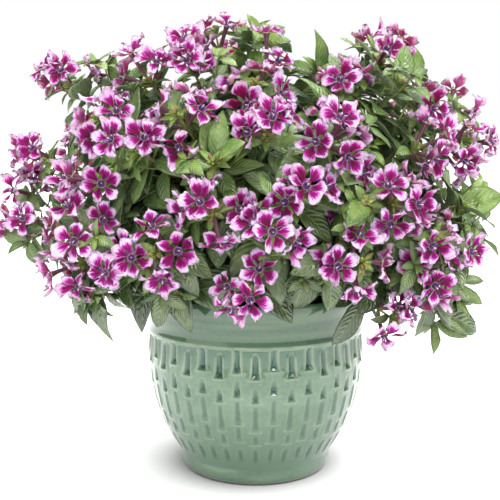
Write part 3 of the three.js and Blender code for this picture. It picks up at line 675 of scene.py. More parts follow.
def shoot_path(start, end, direction, bulge):
    """A curve that rises from the start, aside by the bulge, and comes to the end in the given direction."""
    reach = np.linalg.norm(end - start)
    rise = start + [bulge[0], bulge[1], SHOOT_RISE * reach + bulge[2]]
    return cubic(start, rise, end - SHOOT_BEND * reach * direction, end, 49)


def frame_along(shoot, length):
    """The point, the direction and two directions across it, at a length along the shoot."""
    path, lengths = shoot["path"], shoot["lengths"]
    i = min(max(int(np.searchsorted(lengths, length)), 1), len(path) - 1)
    share = (length - lengths[i - 1]) / (lengths[i] - lengths[i - 1])
    direction = unit(path[i] - path[i - 1])
    first = across(direction, shoot["hinge"])
    point = path[i - 1] + share * (path[i] - path[i - 1])
    return {"point": point, "direction": direction, "first": first, "second": np.cross(direction, first)}


def leaving(around, tilt, turn):
    """The way that leaves a frame at a tilt from its direction, turned round it, both in radians."""
    return (
        np.cos(tilt) * around["direction"]
        + np.sin(tilt) * np.cos(turn) * around["first"]
        + np.sin(tilt) * np.sin(turn) * around["second"]
    )


def clear_path(start, end, direction, draw, clump):
    """The first clear one of ever wider curves, or the plain one where none is clear."""
    stems = room("stem", STEM_SPACE)
    paths = []
    for attempt in range(TRIES):
        bulge = np.array([draw() - 0.5, draw() - 0.5, draw()]) * BULGE * np.sqrt(attempt)
        paths.append(shoot_path(start, end, direction, bulge))
        if is_clear(paths[-1][5:], clump, stems):
            return paths[-1]
    return paths[0]


def grow_shoots():
    """Each shoot leaves its crown at the place in a ring that its head's azimuth gives it, and tries wider
    curves until one is clear."""
    shoots = []
    for clump, (name, (root, heads)) in enumerate(CLUMPS.items()):
        azimuths = [np.arctan2(y - root[1], x - root[0]) for x, y, *_ in heads]
        order = sorted(range(len(heads)), key=lambda k: azimuths[k])
        middle = azimuths[order[len(order) // 2]]
        for k, (x, y, z, blooms, *way) in enumerate(heads):
            slot = (order.index(k) - (len(order) - 1) / 2) / len(order)
            turn = middle + 2 * np.pi * slot
            start = np.array([*root, SHOOT_START]) + CROWN_SPREAD * np.array([np.cos(turn), np.sin(turn), 0])
            head = np.array([x, y, z], float)
            direction = unit(np.array(way, float)) if way else unit(head - HEART)
            end = head - SPRAY_REACH * direction if blooms else head
            draw = draws(len(shoots) + 1).__next__
            path = clear_path(start, end, direction, draw, clump)
            take("stem", path, clump)
            shoots.append({
                "number": len(shoots) + 1, "clump": clump, "name": name, "end": end, "direction": direction,
                "count": blooms, "path": path, "lengths": lengths_along(path),
                "hinge": unit(np.cross(UP, end - path[0])), "draw": draw, "blooms": [], "leaves": [],
                "twigs": [], "inner": [],
            })
    return shoots


def spray_body(shoot):
    """The number of the body that the shoot's spray of blooms is."""
    return SPRAY_BODIES + shoot["number"]


def new_bloom(foot, facing, length, upper, size=1.0, central=False):
    """A bloom with a calyx of this length, two directions across its face, and whether it ends the axis."""
    return {"foot": foot, "throat": foot + length * facing, "facing": facing,
            "first": np.cross(upper, facing), "second": upper, "size": size, "central": central}


def bloom_points(bloom):
    """Points down the calyx, at the throat and round the petals, by which a bloom is kept clear."""
    along = bloom["foot"] + np.array([[0.35], [0.7], [1.0]]) * (bloom["throat"] - bloom["foot"])
    turn = np.arange(12)[:, None] * np.pi / 6
    reach = bloom["size"] * BLOOM_RADIUS * np.where(np.arange(12) % 2 == 0, 1, 0.55)[:, None]
    rim = bloom["throat"] + reach * (np.cos(turn) * bloom["first"] + np.sin(turn) * bloom["second"])
    return np.vstack([along, rim])


def grow_blooms(shoot):
    """Blooms stand round the spray's axis and one may end it. The try with the most blooms clear is kept."""
    if shoot["count"] == 0:
        return
    body = spray_body(shoot)
    draw = shoot["draw"]
    around = frame_along(shoot, shoot["lengths"][-1])
    node = shoot["end"] + BLOOM_NODE * shoot["direction"]
    take("stem", np.array([(shoot["end"] + node) / 2, node]), body)
    rooms = [room("bloom", {**BLOOM_SPACE, "own": 0}), room("stem", {**STEM_SPACE, "own": 0})]
    best = []
    for attempt in range(TRIES):
        loose = attempt / TRIES
        spin = 2 * np.pi * draw()
        blooms = []
        own = np.empty((0, 3))
        for side in BLOOM_SIDES[shoot["count"]]:
            central = side < 0
            tilt = CENTRAL_TILT if central else BLOOM_TILTS[shoot["count"]]
            tilt = tilt + (12 + 40 * loose) * (draw() - 0.5)
            turn = spin + side * np.pi / 2 + (0.2 + loose) * (draw() - 0.5)
            facing = leaving(around, np.radians(abs(tilt)), turn)
            foot = node + AXIS_ABOVE * shoot["direction"] if central else node + NODE_HALF * facing
            upper = across(facing, UP + 0.1 * around["first"] if central else shoot["direction"])
            bloom = new_bloom(foot, facing, CALYX_LENGTH, upper, central=central)
            points = bloom_points(bloom)[1:]
            gaps = ((points[:, None] - own[None]) ** 2).sum(2)
            if not (gaps < BLOOM_SPACE["own"] ** 2).any() and is_clear(points, body, *rooms):
                blooms.append(bloom)
                own = np.vstack([own, points])
        if len(blooms) > len(best):
            best = blooms
        if len(best) == shoot["count"]:
            break
    for bloom in best:
        take("bloom", bloom_points(bloom), body)
    shoot.update(node=node, around=around, blooms=best)


def leaf_spine(leaf, share):
    """Point, normal and side of the blade at shares of its length: the midrib turns down along an arc."""
    angle = leaf["arch"] * share[:, None]
    radius = leaf["length"] / leaf["arch"]
    point = leaf["root"] + radius * (np.sin(angle) * leaf["direction"] - (1 - np.cos(angle)) * leaf["normal"])
    normal = np.cos(angle) * leaf["normal"] + np.sin(angle) * leaf["direction"]
    return point, normal, np.cross(leaf["direction"], leaf["normal"])


def half_width(share, length):
    """Half the blade's width: a bare stalk, then b to the 0.6 times (1 - b) to the 0.95, with b from stalk to
    tip, over the largest value of that."""
    b = np.clip((share - STALK_SHARE) / (1 - STALK_SHARE), 0, 1)
    return 0.5 * LEAF_WIDTH * length * b**0.6 * (1 - b) ** 0.95 / 0.3555


def leaf_points(leaf, shares=(0.2, 0.34, 0.48, 0.62, 0.76, 0.9, 1)):
    """Points down the midrib, and across the blade where it is wide, by which a leaf is kept clear."""
    share = np.array(shares)
    point, _, side = leaf_spine(leaf, share)
    half = half_width(share, leaf["length"])
    wide = half > 4
    offsets = np.array([-1, -0.5, 0.5, 1])[:, None, None] * half[wide][None, :, None]
    return np.vstack([point, (point[wide] + offsets * side).reshape(-1, 3)])


def grow_leaves(shoot):
    """Opposite pairs of leaves, each pair turned a quarter from the next, loosened until they are clear."""
    draw = shoot["draw"]
    total = shoot["lengths"][-1]
    shoot["quarter"] = 2 * np.pi * draw()
    pairs = PAIRS_UNDER_BLOOMS if shoot["blooms"] else PAIRS_AT_TIP
    for pair, (place, size, opening) in enumerate(p for p in pairs if p[0] < LEAFY_SHARE * total):
        around = frame_along(shoot, total - place)
        outward = unit(around["point"] * [1, 1, 0])
        facing = 0.6 * around["direction"] + 0.5 * UP + 0.3 * outward
        near = around["point"], 1.1 * size * LEAF_LENGTH
        others = [room("bloom", LEAF_SPACE, *near), room("stem", STEM_SPACE, *near)]
        for side in (pair % 2, pair % 2 + 2):
            leaves = room("leaf", LEAF_SPACE, *near)
            for attempt in range(LEAF_TRIES):
                loose = attempt / LEAF_TRIES
                turn = shoot["quarter"] + side * np.pi / 2 + 1.5 * loose * (draw() - 0.5)
                tilt = opening + 50 * loose * (draw() - 0.5)
                direction = leaving(around, np.radians(tilt), turn)
                leaf = {
                    "root": around["point"], "direction": direction, "normal": across(direction, facing),
                    "length": LEAF_LENGTH * size * (1.08 - 0.3 * loose - 0.12 * draw()),
                    "arch": np.radians(35 + 45 * draw()), "place": place,
                }
                points = leaf_points(leaf)
                if is_clear(points, shoot["clump"], leaves, *others):
                    take("leaf", points, shoot["clump"])
                    shoot["leaves"].append(leaf)
                    break


shoots = grow_shoots()
for shoot in shoots:
    grow_blooms(shoot)
for shoot in shoots:
    grow_leaves(shoot)

# Lower blooms, twigs and inner leaves: a second tier of blooms opens under the first, short side shoots with
# leaves of their own leave the joints, and smaller pairs of leaves go on down into the bush. They fill it so
# that no light shows through. All of it stays inside the space that the main growth spans.
SPAN = [np.array(corner) / MM + 5 * side for corner, side in zip(cad_box, (-1, 1))]
FILL_SPACE = {
    "leaf": {"others": 2.4, "own": 2.4},
    "bloom": {"others": 2.4, "own": 2.4},
    "stem": {"others": 2.4, "own": 1.5},
}
LOWER_SPACE = {"others": 2.9, "own": 2.7}
LOWER_TRIES = 60
BLOOM_NEAR = 60
TWIG_PLACES = (20, 36, 54, 76, 102)
TWIGGY_SHARE = 0.82
TWIG_TRIES = 12
TWIG_NEAR = 70
TWIG_JOINTS = (0.55,)
TWIG_SIZES = (0.34, 0.6)
TWIG_LONGEST = 28
ROSETTE_SPACE = {"others": 1.6, "own": 0.5}
ROSETTE_LEAVES = 7
ROSETTE_SHORTEST = 8
GOLDEN_TURN = 2.4
INNER_FROM = 8
INNER_STEP = 14
INNER_SIZES = (0.5, 1.0)
INNER_YOUTH = 0.3
AGES_OVER = 30
INNER_TRIES = 14
NOTCH = {"middle": 105, "half": 20, "top": 150}
SHOWS = np.array([0.0, -0.8, 0.5])
SIDE_SHOOT_JOINTS = (0.3, 0.6, 0.86)
SIDE_SHOOT_PULL = 0.35
# Each side shoot's tip, the way it points, how young its leaves are, the longest of them, and its blooms.
SIDE_SHOOTS = [
    ((198, 0, 246), (0.8, -0.2, 0.5), 0.9, 46, 0),
    ((180, -30, 226), (0.9, -0.3, 0.1), 0.8, 48, 0),
    ((194, -10, 206), (0.5, -0.2, -0.9), 0.6, 62, 0),
    ((172, -32, 170), (0.7, -0.2, -0.7), 0.5, 46, 0),
    ((146, -58, 140), (0.2, -0.3, -1.0), 0.5, 56, 0),
    ((164, -40, 158), (0.4, -0.2, -0.9), 0.7, 42, 0),
    ((-190, -30, 244), (-0.7, -0.5, 0.2), 0.3, 34, 3),
    ((-134, -84, 166), (-0.1, -0.3, -1.0), 0.15, 44, 0),
    ((-188, -50, 205), (-0.6, -0.3, -0.7), 0.3, 34, 0),
    ((4, -30, 376), (0.2, -0.2, 1.0), 0.6, 34, 0),
    ((52, -22, 344), (0.2, -0.2, 1.0), 0.3, 46, 0),
    ((82, -26, 342), (0.3, -0.2, 0.9), 0.3, 46, 0),
    ((142, -6, 336), (0.7, -0.1, 0.7), 0.8, 50, 0),
    ((168, -12, 318), (0.7, -0.5, 0.5), 0.4, 30, 2),
    ((190, 0, 286), (0.8, -0.5, 0.2), 0.4, 30, 2),
    ((158, -84, 200), (0.5, -0.8, -0.1), 0.4, 34, 1),
    ((-166, -20, 336), (-0.5, -0.4, 0.8), 0.3, 22, 2),
    ((-110, -30, 335), (-0.5, -0.3, 0.8), 0.4, 40, 0),
]
fill_draw = np.random.default_rng(11)


def fits(points, body, *rooms):
    """True where the points stay inside the span of the main growth, leave the notch on either side of the
    planter's shoulder open, and are clear."""
    beside = np.abs(np.abs(points[:, 0]) - NOTCH["middle"]) < NOTCH["half"]
    if (beside & (points[:, 2] < NOTCH["top"])).any():
        return False
    return (points > SPAN[0]).all() and (points < SPAN[1]).all() and is_clear(points, body, *rooms)


def rooms_near(place, reach, kinds=("leaf", "bloom", "stem")):
    """What is taken within reach of a place, with the space that the filling growth keeps from it."""
    return [room(kind, FILL_SPACE[kind], place, reach) for kind in kinds]


def try_bloom(shoot, bloom, *rooms):
    """Adds a bloom to the shoot's spray where it fits, and tells whether it did."""
    points = bloom_points(bloom)
    added = fits(points[1:], spray_body(shoot), *rooms)
    if added:
        take("bloom", points, spray_body(shoot))
        shoot["blooms"].append(bloom)
    return added


def grow_lower_bloom(shoot):
    """One smaller bloom from the shoot's last joint, facing a random way between or under those of the first
    tier."""
    rooms = [room("bloom", LOWER_SPACE, shoot["node"], BLOOM_NEAR),
             *rooms_near(shoot["node"], BLOOM_NEAR, ["leaf", "stem"])]
    for _ in range(LOWER_TRIES):
        tilt = np.radians(fill_draw.uniform(25, 92))
        facing = leaving(shoot["around"], tilt, 2 * np.pi * fill_draw.random())
        foot = shoot["end"] + fill_draw.uniform(0.5, 5.0) * shoot["direction"] + NODE_HALF * facing
        bloom = new_bloom(foot, facing, fill_draw.uniform(16, 25), across(facing, shoot["direction"]),
                          fill_draw.uniform(0.8, 0.95))
        if try_bloom(shoot, bloom, *rooms):
            break


def try_leaf(leaf, body, shares, rooms):
    """Takes the leaf's points where they fit, and tells whether it did."""
    points = leaf_points(leaf, shares)
    fitting = fits(points, body, *rooms)
    if fitting:
        take("leaf", points, body)
    return fitting


def leaf_from(around, tilt, turn, facing, length, place, youth):
    """A leaf that leaves a frame, with its blade turned to face the given way."""
    direction = leaving(around, tilt, turn)
    return {
        "root": around["point"], "direction": direction, "normal": across(direction, facing),
        "length": length, "arch": np.radians(fill_draw.uniform(25, 80)), "place": place, "youth": youth,
    }


def grow_pair(around, quarter, sizes, body, leaves, place, youth, facing=None):
    """A pair of leaves from one joint, each loosened and shortened until it fits."""
    if facing is None:
        outward = unit(around["point"] * [1, 1, 0] + 1e-6)
        facing = 0.5 * around["direction"] + 0.6 * UP + 0.3 * outward
    for turned in (0, np.pi):
        length = LEAF_LENGTH * fill_draw.uniform(*sizes)
        rooms = rooms_near(around["point"], 1.1 * length)
        for attempt in range(INNER_TRIES):
            loose = attempt / INNER_TRIES
            turn = quarter + turned + 2.4 * loose * fill_draw.uniform(-0.5, 0.5)
            tilt = np.radians(60 + 80 * loose * fill_draw.uniform(-0.5, 0.5))
            leaf = leaf_from(around, tilt, turn, facing, length * (1.05 - 0.4 * loose), place, youth)
            if try_leaf(leaf, body, (0.25, 0.5, 0.75, 1), rooms):
                leaves.append(leaf)
                break


def grow_twigs(shoot):
    """Short side shoots: a twig leaves at a tilt and bends outwards and up."""
    total = shoot["lengths"][-1]
    for place in TWIG_PLACES:
        if place > TWIGGY_SHARE * total:
            break
        around = frame_along(shoot, total - place)
        rooms = rooms_near(around["point"], TWIG_NEAR)
        outward = unit(around["point"] - HEART)
        for _ in range(TWIG_TRIES):
            way = leaving(around, np.radians(fill_draw.uniform(35, 75)), 2 * np.pi * fill_draw.random())
            reach = fill_draw.uniform(18, 44)
            t = np.linspace(0, 1, 9)[:, None]
            path = around["point"] + way * reach * 0.8 * t + unit(outward + 0.5 * UP) * reach * 0.5 * t**2
            if fits(path[3:], shoot["clump"], *rooms):
                take("stem", path[2:], shoot["clump"])
                shoot["twigs"].append({
                    "path": path, "lengths": lengths_along(path), "leaves": [], "place": place,
                    "hinge": unit(np.cross(way, UP + 1e-3)), "joints": TWIG_JOINTS, "sizes": TWIG_SIZES,
                    "longest": TWIG_LONGEST,
                })
                break


def dress_twig(twig, body):
    """Leaves of a twig: a pair at each of its joints, and a rosette at its tip with the longer leaves
    lowest."""
    total = twig["lengths"][-1]
    longest = twig["longest"]
    spin = 2 * np.pi * fill_draw.random()
    drawn = fill_draw.uniform(0.1, 0.7)
    youth = twig.get("youth", drawn)
    for joint in twig["joints"]:
        grow_pair(frame_along(twig, joint * total), spin + 3 * joint, twig["sizes"], body, twig["leaves"],
                  twig["place"], 0.7 * youth, twig.get("facing"))
    tip = frame_along(twig, total)
    facing = twig.get("facing", tip["direction"] + 0.3 * UP)
    rooms = [room("leaf", ROSETTE_SPACE, tip["point"], 1.2 * longest),
             *rooms_near(tip["point"], 1.2 * longest, ["bloom"])]
    for k in range(ROSETTE_LEAVES):
        rank = k / (ROSETTE_LEAVES - 1)
        length = ROSETTE_SHORTEST + (longest - ROSETTE_SHORTEST) * rank * fill_draw.uniform(0.7, 1.0)
        leaf = leaf_from(tip, np.radians(20 + 52 * rank), spin + GOLDEN_TURN * k, facing, length,
                         twig["place"], youth + 0.25 * (1 - rank))
        if try_leaf(leaf, body, (0.6, 1), rooms):
            twig["leaves"].append(leaf)


def grow_side_shoot(tip, way, youth, longest, blooms):
    """A longer side shoot to a chosen tip. It leaves the nearest point of any shoot on a cubic curve that
    comes to the tip in the given way, and may carry a few blooms round its tip."""
    tip = np.array(tip, float)
    way = unit(np.array(way, float))
    bearing = [s for s in shoots if s["blooms"]] if blooms else shoots
    gaps = [np.linalg.norm(s["path"][12:-5] - tip, axis=1) for s in bearing]
    carrier = int(np.argmin([gap.min() for gap in gaps]))
    shoot = bearing[carrier]
    i = 12 + int(gaps[carrier].argmin())
    start = shoot["path"][i]
    along = unit(shoot["path"][i + 1] - shoot["path"][i - 1])
    pull = SIDE_SHOOT_PULL * np.linalg.norm(tip - start)
    path = cubic(start, start + pull * along, tip - pull * way, tip, 15)
    take("stem", path[2:], shoot["clump"])
    twig = {
        "path": path, "lengths": lengths_along(path), "leaves": [], "place": 40, "youth": youth,
        "hinge": unit(np.cross(way, [0.3, 0.2, 1.0])), "joints": SIDE_SHOOT_JOINTS,
        "sizes": (0.8 * longest / LEAF_LENGTH, 1.1 * longest / LEAF_LENGTH), "longest": longest,
        "facing": unit(tip * [1, 1, 0]) + SHOWS,
    }
    shoot["twigs"].append(twig)
    around = frame_along(twig, twig["lengths"][-1])
    for _ in range(LOWER_TRIES):
        if blooms < 1:
            break
        facing = leaving(around, np.radians(fill_draw.uniform(10, 80)), 2 * np.pi * fill_draw.random())
        foot = tip - fill_draw.uniform(0, 4) * way + NODE_HALF * facing
        bloom = new_bloom(foot, facing, fill_draw.uniform(14, 20), across(facing, UP + 0.1 * way),
                          fill_draw.uniform(0.85, 1.0))
        if try_bloom(shoot, bloom, room("bloom", LOWER_SPACE, tip, BLOOM_NEAR)):
            blooms -= 1


def grow_inner_leaves(shoot):
    """Pairs of smaller leaves all the way down the shoot, each turned a quarter from the next, and older the
    further down it stands."""
    reach = shoot["lengths"][-1]
    for pair, place in enumerate(np.arange(INNER_FROM, 0.9 * reach, INNER_STEP)):
        turned = shoot["quarter"] + (0.5 + pair) * np.pi / 2
        youth = INNER_YOUTH * np.exp(-place / AGES_OVER)
        around = frame_along(shoot, reach - place)
        grow_pair(around, turned, INNER_SIZES, shoot["clump"], shoot["inner"], place, youth)


for shoot in shoots:
    if shoot["blooms"]:
        grow_lower_bloom(shoot)
for shoot in shoots:
    grow_twigs(shoot)
for side_shoot in SIDE_SHOOTS:
    grow_side_shoot(*side_shoot)
for shoot in shoots:
    for twig in shoot["twigs"]:
        dress_twig(twig, shoot["clump"])
for shoot in shoots:
    grow_inner_leaves(shoot)

# Stems: every clump rises from one woody base in the soil and branches into soft shoots, brown at the foot,
# green above and flushed red near the blooms, a little thicker at each joint.
STEM_THICK = 1.7
STEM_THIN = 1.15
SWELLING = 0.3
TWIG_RADII = (0.95, 0.6)
CROWN_RADIUS = 7.5
CROWN_PROFILE = np.array([
    (138, 0.9), (144, 1.0), (149, 1.0), (152, 0.96), (155, 0.88), (157, 0.66), (158, 0.25),
])


def tube(path, radius, points, **values):
    """A skin round a path of m points with m radii: each ring stands square to the path, and a ring's first
    direction is the last one's, less its share along the path."""
    way = unit(np.gradient(path, axis=0))
    sideways = np.empty_like(path)
    sideways[0] = across(way[0], np.array([0.3, 1.0, 0.2]))
    for i in range(1, len(path)):
        sideways[i] = across(way[i], sideways[i - 1])
    turn = 2 * np.pi * np.arange(points)[None, :, None] / points
    ring = np.cos(turn) * sideways[:, None] + np.sin(turn) * np.cross(way, sideways)[:, None]
    radius = np.broadcast_to(radius, (len(path), points)) if np.ndim(radius) == 2 else radius[:, None]
    return skins((path[:, None] + radius[..., None] * ring)[None], **values)


def shoot_tube(shoot):
    """The shoot's path at even lengths, its radius falling to the tip and swelling at each joint."""
    total = shoot["lengths"][-1]
    along = np.linspace(0, total, 56)
    path = np.stack([np.interp(along, shoot["lengths"], shoot["path"][:, k]) for k in range(3)], -1)
    joints = np.array([total - leaf["place"] for leaf in shoot["leaves"] + shoot["inner"]] + [total])
    swelling = np.exp(-(((along[:, None] - joints) / 2.6) ** 2)).max(1)
    radius = (STEM_THICK + (STEM_THIN - STEM_THICK) * along / total) * (1 + SWELLING * swelling)
    rise = (along / total)[None, :, None]
    flush = (shoot["number"] * 0.618) % 1
    return tube(path, radius, 7, rise=rise, flush=flush)


def twig_tube(twig):
    """The twig's path, thinning to its tip."""
    radius = np.linspace(*TWIG_RADII, len(twig["path"]))
    return tube(twig["path"], radius, 6, rise=0.6, flush=0.3)


def crown_tube(clump):
    """The woody base: an upright stub whose profile is turned round its axis, with three and five uneven
    sides."""
    x, y = CLUMPS[clump][0]
    z, width = CROWN_PROFILE.T
    path = np.stack([x + 0 * z, y + 0 * z, z], -1)
    turn = 2 * np.pi * np.arange(12) / 12
    uneven = 1 + 0.1 * np.sin(3 * turn + x) + 0.07 * np.sin(5 * turn + z[:, None])
    return tube(path, CROWN_RADIUS * width[:, None] * uneven, 12, rise=-0.3, flush=0.0)


def bark_and_skin():
    """Woody brown low down, then green, then red by the flush of each shoot, with fine lengthwise streaks."""
    finish, tree, surface = new_finish("stem_skin", Roughness=0.55)
    rise = read(tree, "rise")
    mottle = cloudy(tree, 500)
    wood = blended(tree, mottle, tone(70, 52, 36), tone(120, 96, 66))
    green = blended(tree, mottle, tone(96, 116, 56), tone(150, 162, 84))
    red = blended(tree, mottle, tone(104, 44, 56), tone(146, 84, 74))
    flushed = times(tree, stepped(tree, rise, 0.55, 1.0), read(tree, "flush"))
    soft = blended(tree, flushed, green, red)
    tree.links.new(blended(tree, stepped(tree, rise, 0.02, 0.3), wood, soft), surface.inputs["Base Color"])
    raised(tree, surface, cloudy(tree, 700, (1, 1, 0.2)), 0.0003)
    return finish


stem_skin = bark_and_skin()
for clump in CLUMPS:
    own = [s for s in shoots if s["name"] == clump]
    tubes = [shoot_tube(s) for s in own] + [twig_tube(twig) for s in own for twig in s["twigs"]]
    parts = [crown_tube(clump), *tubes]
    make_piece(f"stems_{clump}", parts, [stem_skin], [f"leafy_stem_{clump}"])

# Leaves: long pointed blades on short stalks, dark and glossy above with sunken pale veins and a quilted
# surface between them, dull grey green beneath, edges lightly waved. Young ones are yellow green.
LONG_LEAF = 34
STALK_HALF = 0.85
STALK_THICK = 0.6
BLADE_THICK = 0.2
TWIST = 0.9
SWAY = 0.14
SIDE_VEINS = 9.0
FACE_EDGE = (-0.2, 0.1)
# Heights in mm over which leaves go from painted shade to painted light.
SUNNED = (140, 300)
TIP_YOUTH = 0.32
BLOOM_YOUTH = 0.17
leaf_draw = np.random.default_rng(3)


def blades(leaves, rings, points, youth):
    """Closed blades. A ring is an ellipse as wide as the leaf and very thin, carried along the midrib: its
    edges are folded up and slowly waved, and it sways aside and twists a little towards the tip. The stalk is
    the blade's narrow foot, where the ring is thicker."""
    share = np.linspace(0, 1, rings) ** 1.1 * 0.985
    turn = 2 * np.pi * np.arange(points) / points
    u = np.sin(turn)[None, None]
    top = np.cos(turn)[None, None]
    spine = [leaf_spine(leaf, share) for leaf in leaves]
    place = np.stack([s[0] for s in spine])
    normal = np.stack([s[1] for s in spine])
    side = np.stack([np.broadcast_to(s[2], s[1].shape) for s in spine])
    length = np.array([leaf["length"] for leaf in leaves])[:, None]
    draw = leaf_draw.random((len(leaves), 6, 1))
    half = half_width(share, length) * (0.96 + 0.3 * draw[:, 0])
    half = np.maximum(half, STALK_HALF * np.exp(-((share / 0.3) ** 4)))[..., None]
    twist = ((draw[:, 0] - 0.5) * TWIST * share)[..., None]
    normal, side = (
        normal * np.cos(twist) - side * np.sin(twist),
        side * np.cos(twist) + normal * np.sin(twist),
    )
    along = share[None, :, None]
    thick = BLADE_THICK + STALK_THICK * np.exp(-((along / 0.13) ** 2))
    fold = (0.12 + 0.3 * draw[:, 1])[..., None] * (np.abs(u) - 0.35) * half
    phase = 2 * np.pi * (1.3 * along + draw[:, 3, :, None]) + 1.2 * np.sign(u)
    wave = (0.1 + 0.1 * draw[:, 2])[..., None] * half * u**2 * np.sin(phase)
    sway = (draw[:, 4] - 0.5)[..., None] * SWAY * length[..., None] * along**2
    lift = fold + wave * eased(0.15, 0.4, along) + thick * top
    places = (
        place[:, :, None]
        + side[:, :, None] * (u * half + sway)[..., None]
        + normal[:, :, None] * lift[..., None]
    )
    shape = places.shape[:3]
    return skins(
        places,
        along=np.broadcast_to(along, shape),
        over=np.broadcast_to(u, shape),
        above=np.broadcast_to(top, shape),
        seed=draw[:, 5, 0],
        youth=youth,
        height=places[..., 2],
    )


def leaf_finish():
    """Veins by the two blade coordinates: the midrib where over is near 0, and side veins that leave it at a
    sharp angle and arch towards the tip. Between them the blade swells. Youth turns it yellow green. Light
    and
    shade are painted in by height: leaves low on the plant take a darker green of painted shade, less of the
    yellow green of youth, less random paling and a darker underside; those high up take a brighter green of
    painted light."""
    finish, tree, surface = new_finish("leaf_blade", Specular_IOR_Level=1.0)
    over = sums(tree, "ABSOLUTE", read(tree, "over"))
    height = read(tree, "height")
    above = read(tree, "above")
    # Painted light by height: low leaves keep half their yellow green of youth, high ones all of it.
    youth = times(tree, read(tree, "youth"), stepped(tree, height, *SUNNED, 0.5, 1.0))
    arched = times(tree, sums(tree, "POWER", over, 3.0), 0.1)
    bent = plus(tree, times(tree, over, 0.24), arched)
    wobble = times(tree, cloudy(tree, 110), 0.07)
    run = times(tree, plus(tree, less(tree, read(tree, "along"), bent), wobble), SIDE_VEINS)
    beside = sums(tree, "ABSOLUTE", less(tree, sums(tree, "FRACT", run), 0.5))
    vein = stepped(tree, beside, 0.0, 0.07, 1.0, 0.0)
    midrib = stepped(tree, over, 0.02, 0.09, 1.0, 0.0)
    fading = stepped(tree, over, 0.4, 0.82, 0.6, 0.0)
    netted = sums(tree, "MAXIMUM", times(tree, vein, fading), midrib)
    mottle = stepped(tree, cloudy(tree, 80, detail=5.0), 0.3, 0.7)
    # Painted shade and painted light: the darker green is for low leaves and the brighter for high ones, by
    # height alone.
    shaded = blended(tree, mottle, tone(33, 50, 31), tone(58, 75, 48))
    bright = blended(tree, mottle, tone(60, 91, 48), tone(106, 133, 78))
    painted_light_by_height = blended(tree, stepped(tree, height, *SUNNED), shaded, bright)
    seeded = sums(tree, "POWER", read(tree, "seed"), 2.0)
    # Random paling and the paler underside show more on high leaves: painted light by height.
    paler = times(tree, seeded, stepped(tree, height, *SUNNED, 0.3, 0.6))
    varied = blended(tree, paler, painted_light_by_height, tone(112, 130, 102))
    young = blended(tree, mottle, tone(104, 144, 40), tone(156, 182, 72))
    blade = blended(tree, youth, varied, young)
    veined = blended(tree, times(tree, netted, 0.36), blade, tone(138, 158, 102))
    under = blended(tree, stepped(tree, height, *SUNNED, 0.35, 0.6), veined, tone(132, 152, 110))
    both = blended(tree, stepped(tree, above, *FACE_EDGE), under, veined)
    tree.links.new(both, surface.inputs["Base Color"])
    tree.links.new(stepped(tree, above, *FACE_EDGE, 0.7, 0.27), surface.inputs["Roughness"])
    inward = stepped(tree, over, 0.7, 1.0, 1.0, 0.0)
    between = times(tree, stepped(tree, beside, 0.0, 0.5), inward)
    swell = times(tree, less(tree, 1.0, netted), between)
    blistered = times(tree, cloudy(tree, 420, detail=3.0), 0.9)
    raised(tree, surface, plus(tree, swell, blistered), 0.001, 0.5)
    return finish


def youth_of(shoot, leaf):
    """Leaves near a leafy tip are young, and those deep in the bush are aged."""
    fresh = TIP_YOUTH if shoot["count"] == 0 else BLOOM_YOUTH
    return leaf.get("youth", fresh * np.exp(-leaf["place"] / AGES_OVER)) + 0.12 * leaf_draw.random()


def leaf_blades(pairs, rings, points):
    """Blades of some pairs of a shoot and a leaf on it."""
    youth = np.array([youth_of(*pair) for pair in pairs])
    return blades([leaf for _, leaf in pairs], rings, points, youth)


leaf_blade = leaf_finish()
for clump in CLUMPS:
    own = [s for s in shoots if s["name"] == clump]
    large = [(s, leaf) for s in own for leaf in s["leaves"]]
    filling = []
    for s in own:
        on_twigs = [leaf for twig in s["twigs"] for leaf in twig["leaves"]]
        filling += [(s, leaf) for leaf in s["inner"] + on_twigs]
    large += [pair for pair in filling if pair[1]["length"] > LONG_LEAF]
    small = [pair for pair in filling if pair[1]["length"] <= LONG_LEAF]
    parts = [leaf_blades(large, 9, 8), leaf_blades(small, 6, 6)]
    make_piece(f"leaves_{clump}", parts, [leaf_blade])

# Petals: six to a bloom, each a thin crinkled blade on a narrow claw that stands on the calyx's rim. The two
# upper ones are longer. Crimson at the claw turns to hot magenta, and that runs out in feathered streaks into
# a broad pale lilac margin.
PETALS = 6
PETAL_RINGS = np.array([0.0, 0.18, 0.36, 0.53, 0.68, 0.82, 0.93, 0.985])
PETAL_POINTS = 8
PETAL_HALF_WIDTH = 5.5
PETAL_REACH = 15.4
PETAL_BEND = 11.0
PETAL_THICK = 0.16
PETAL_GIVE = 0.5
CLAW_FROM = 2.6
# How far from the core each tone lies.
PETAL_TONES = [
    (0.0, (92, 4, 54)), (0.24, (120, 6, 84)), (0.42, (158, 14, 128)), (0.55, (194, 48, 172)),
    (0.62, (214, 130, 204)), (0.72, (227, 180, 221)), (1.0, (238, 208, 234)),
]
petal_draw = np.random.default_rng(8)


def of_each(blooms, key, count):
    """A vector of each bloom, repeated for its petals or stamens, ready to meet arrays of rings and
    points."""
    return np.repeat(np.stack([bloom[key] for bloom in blooms]), count, 0)[:, None, None]


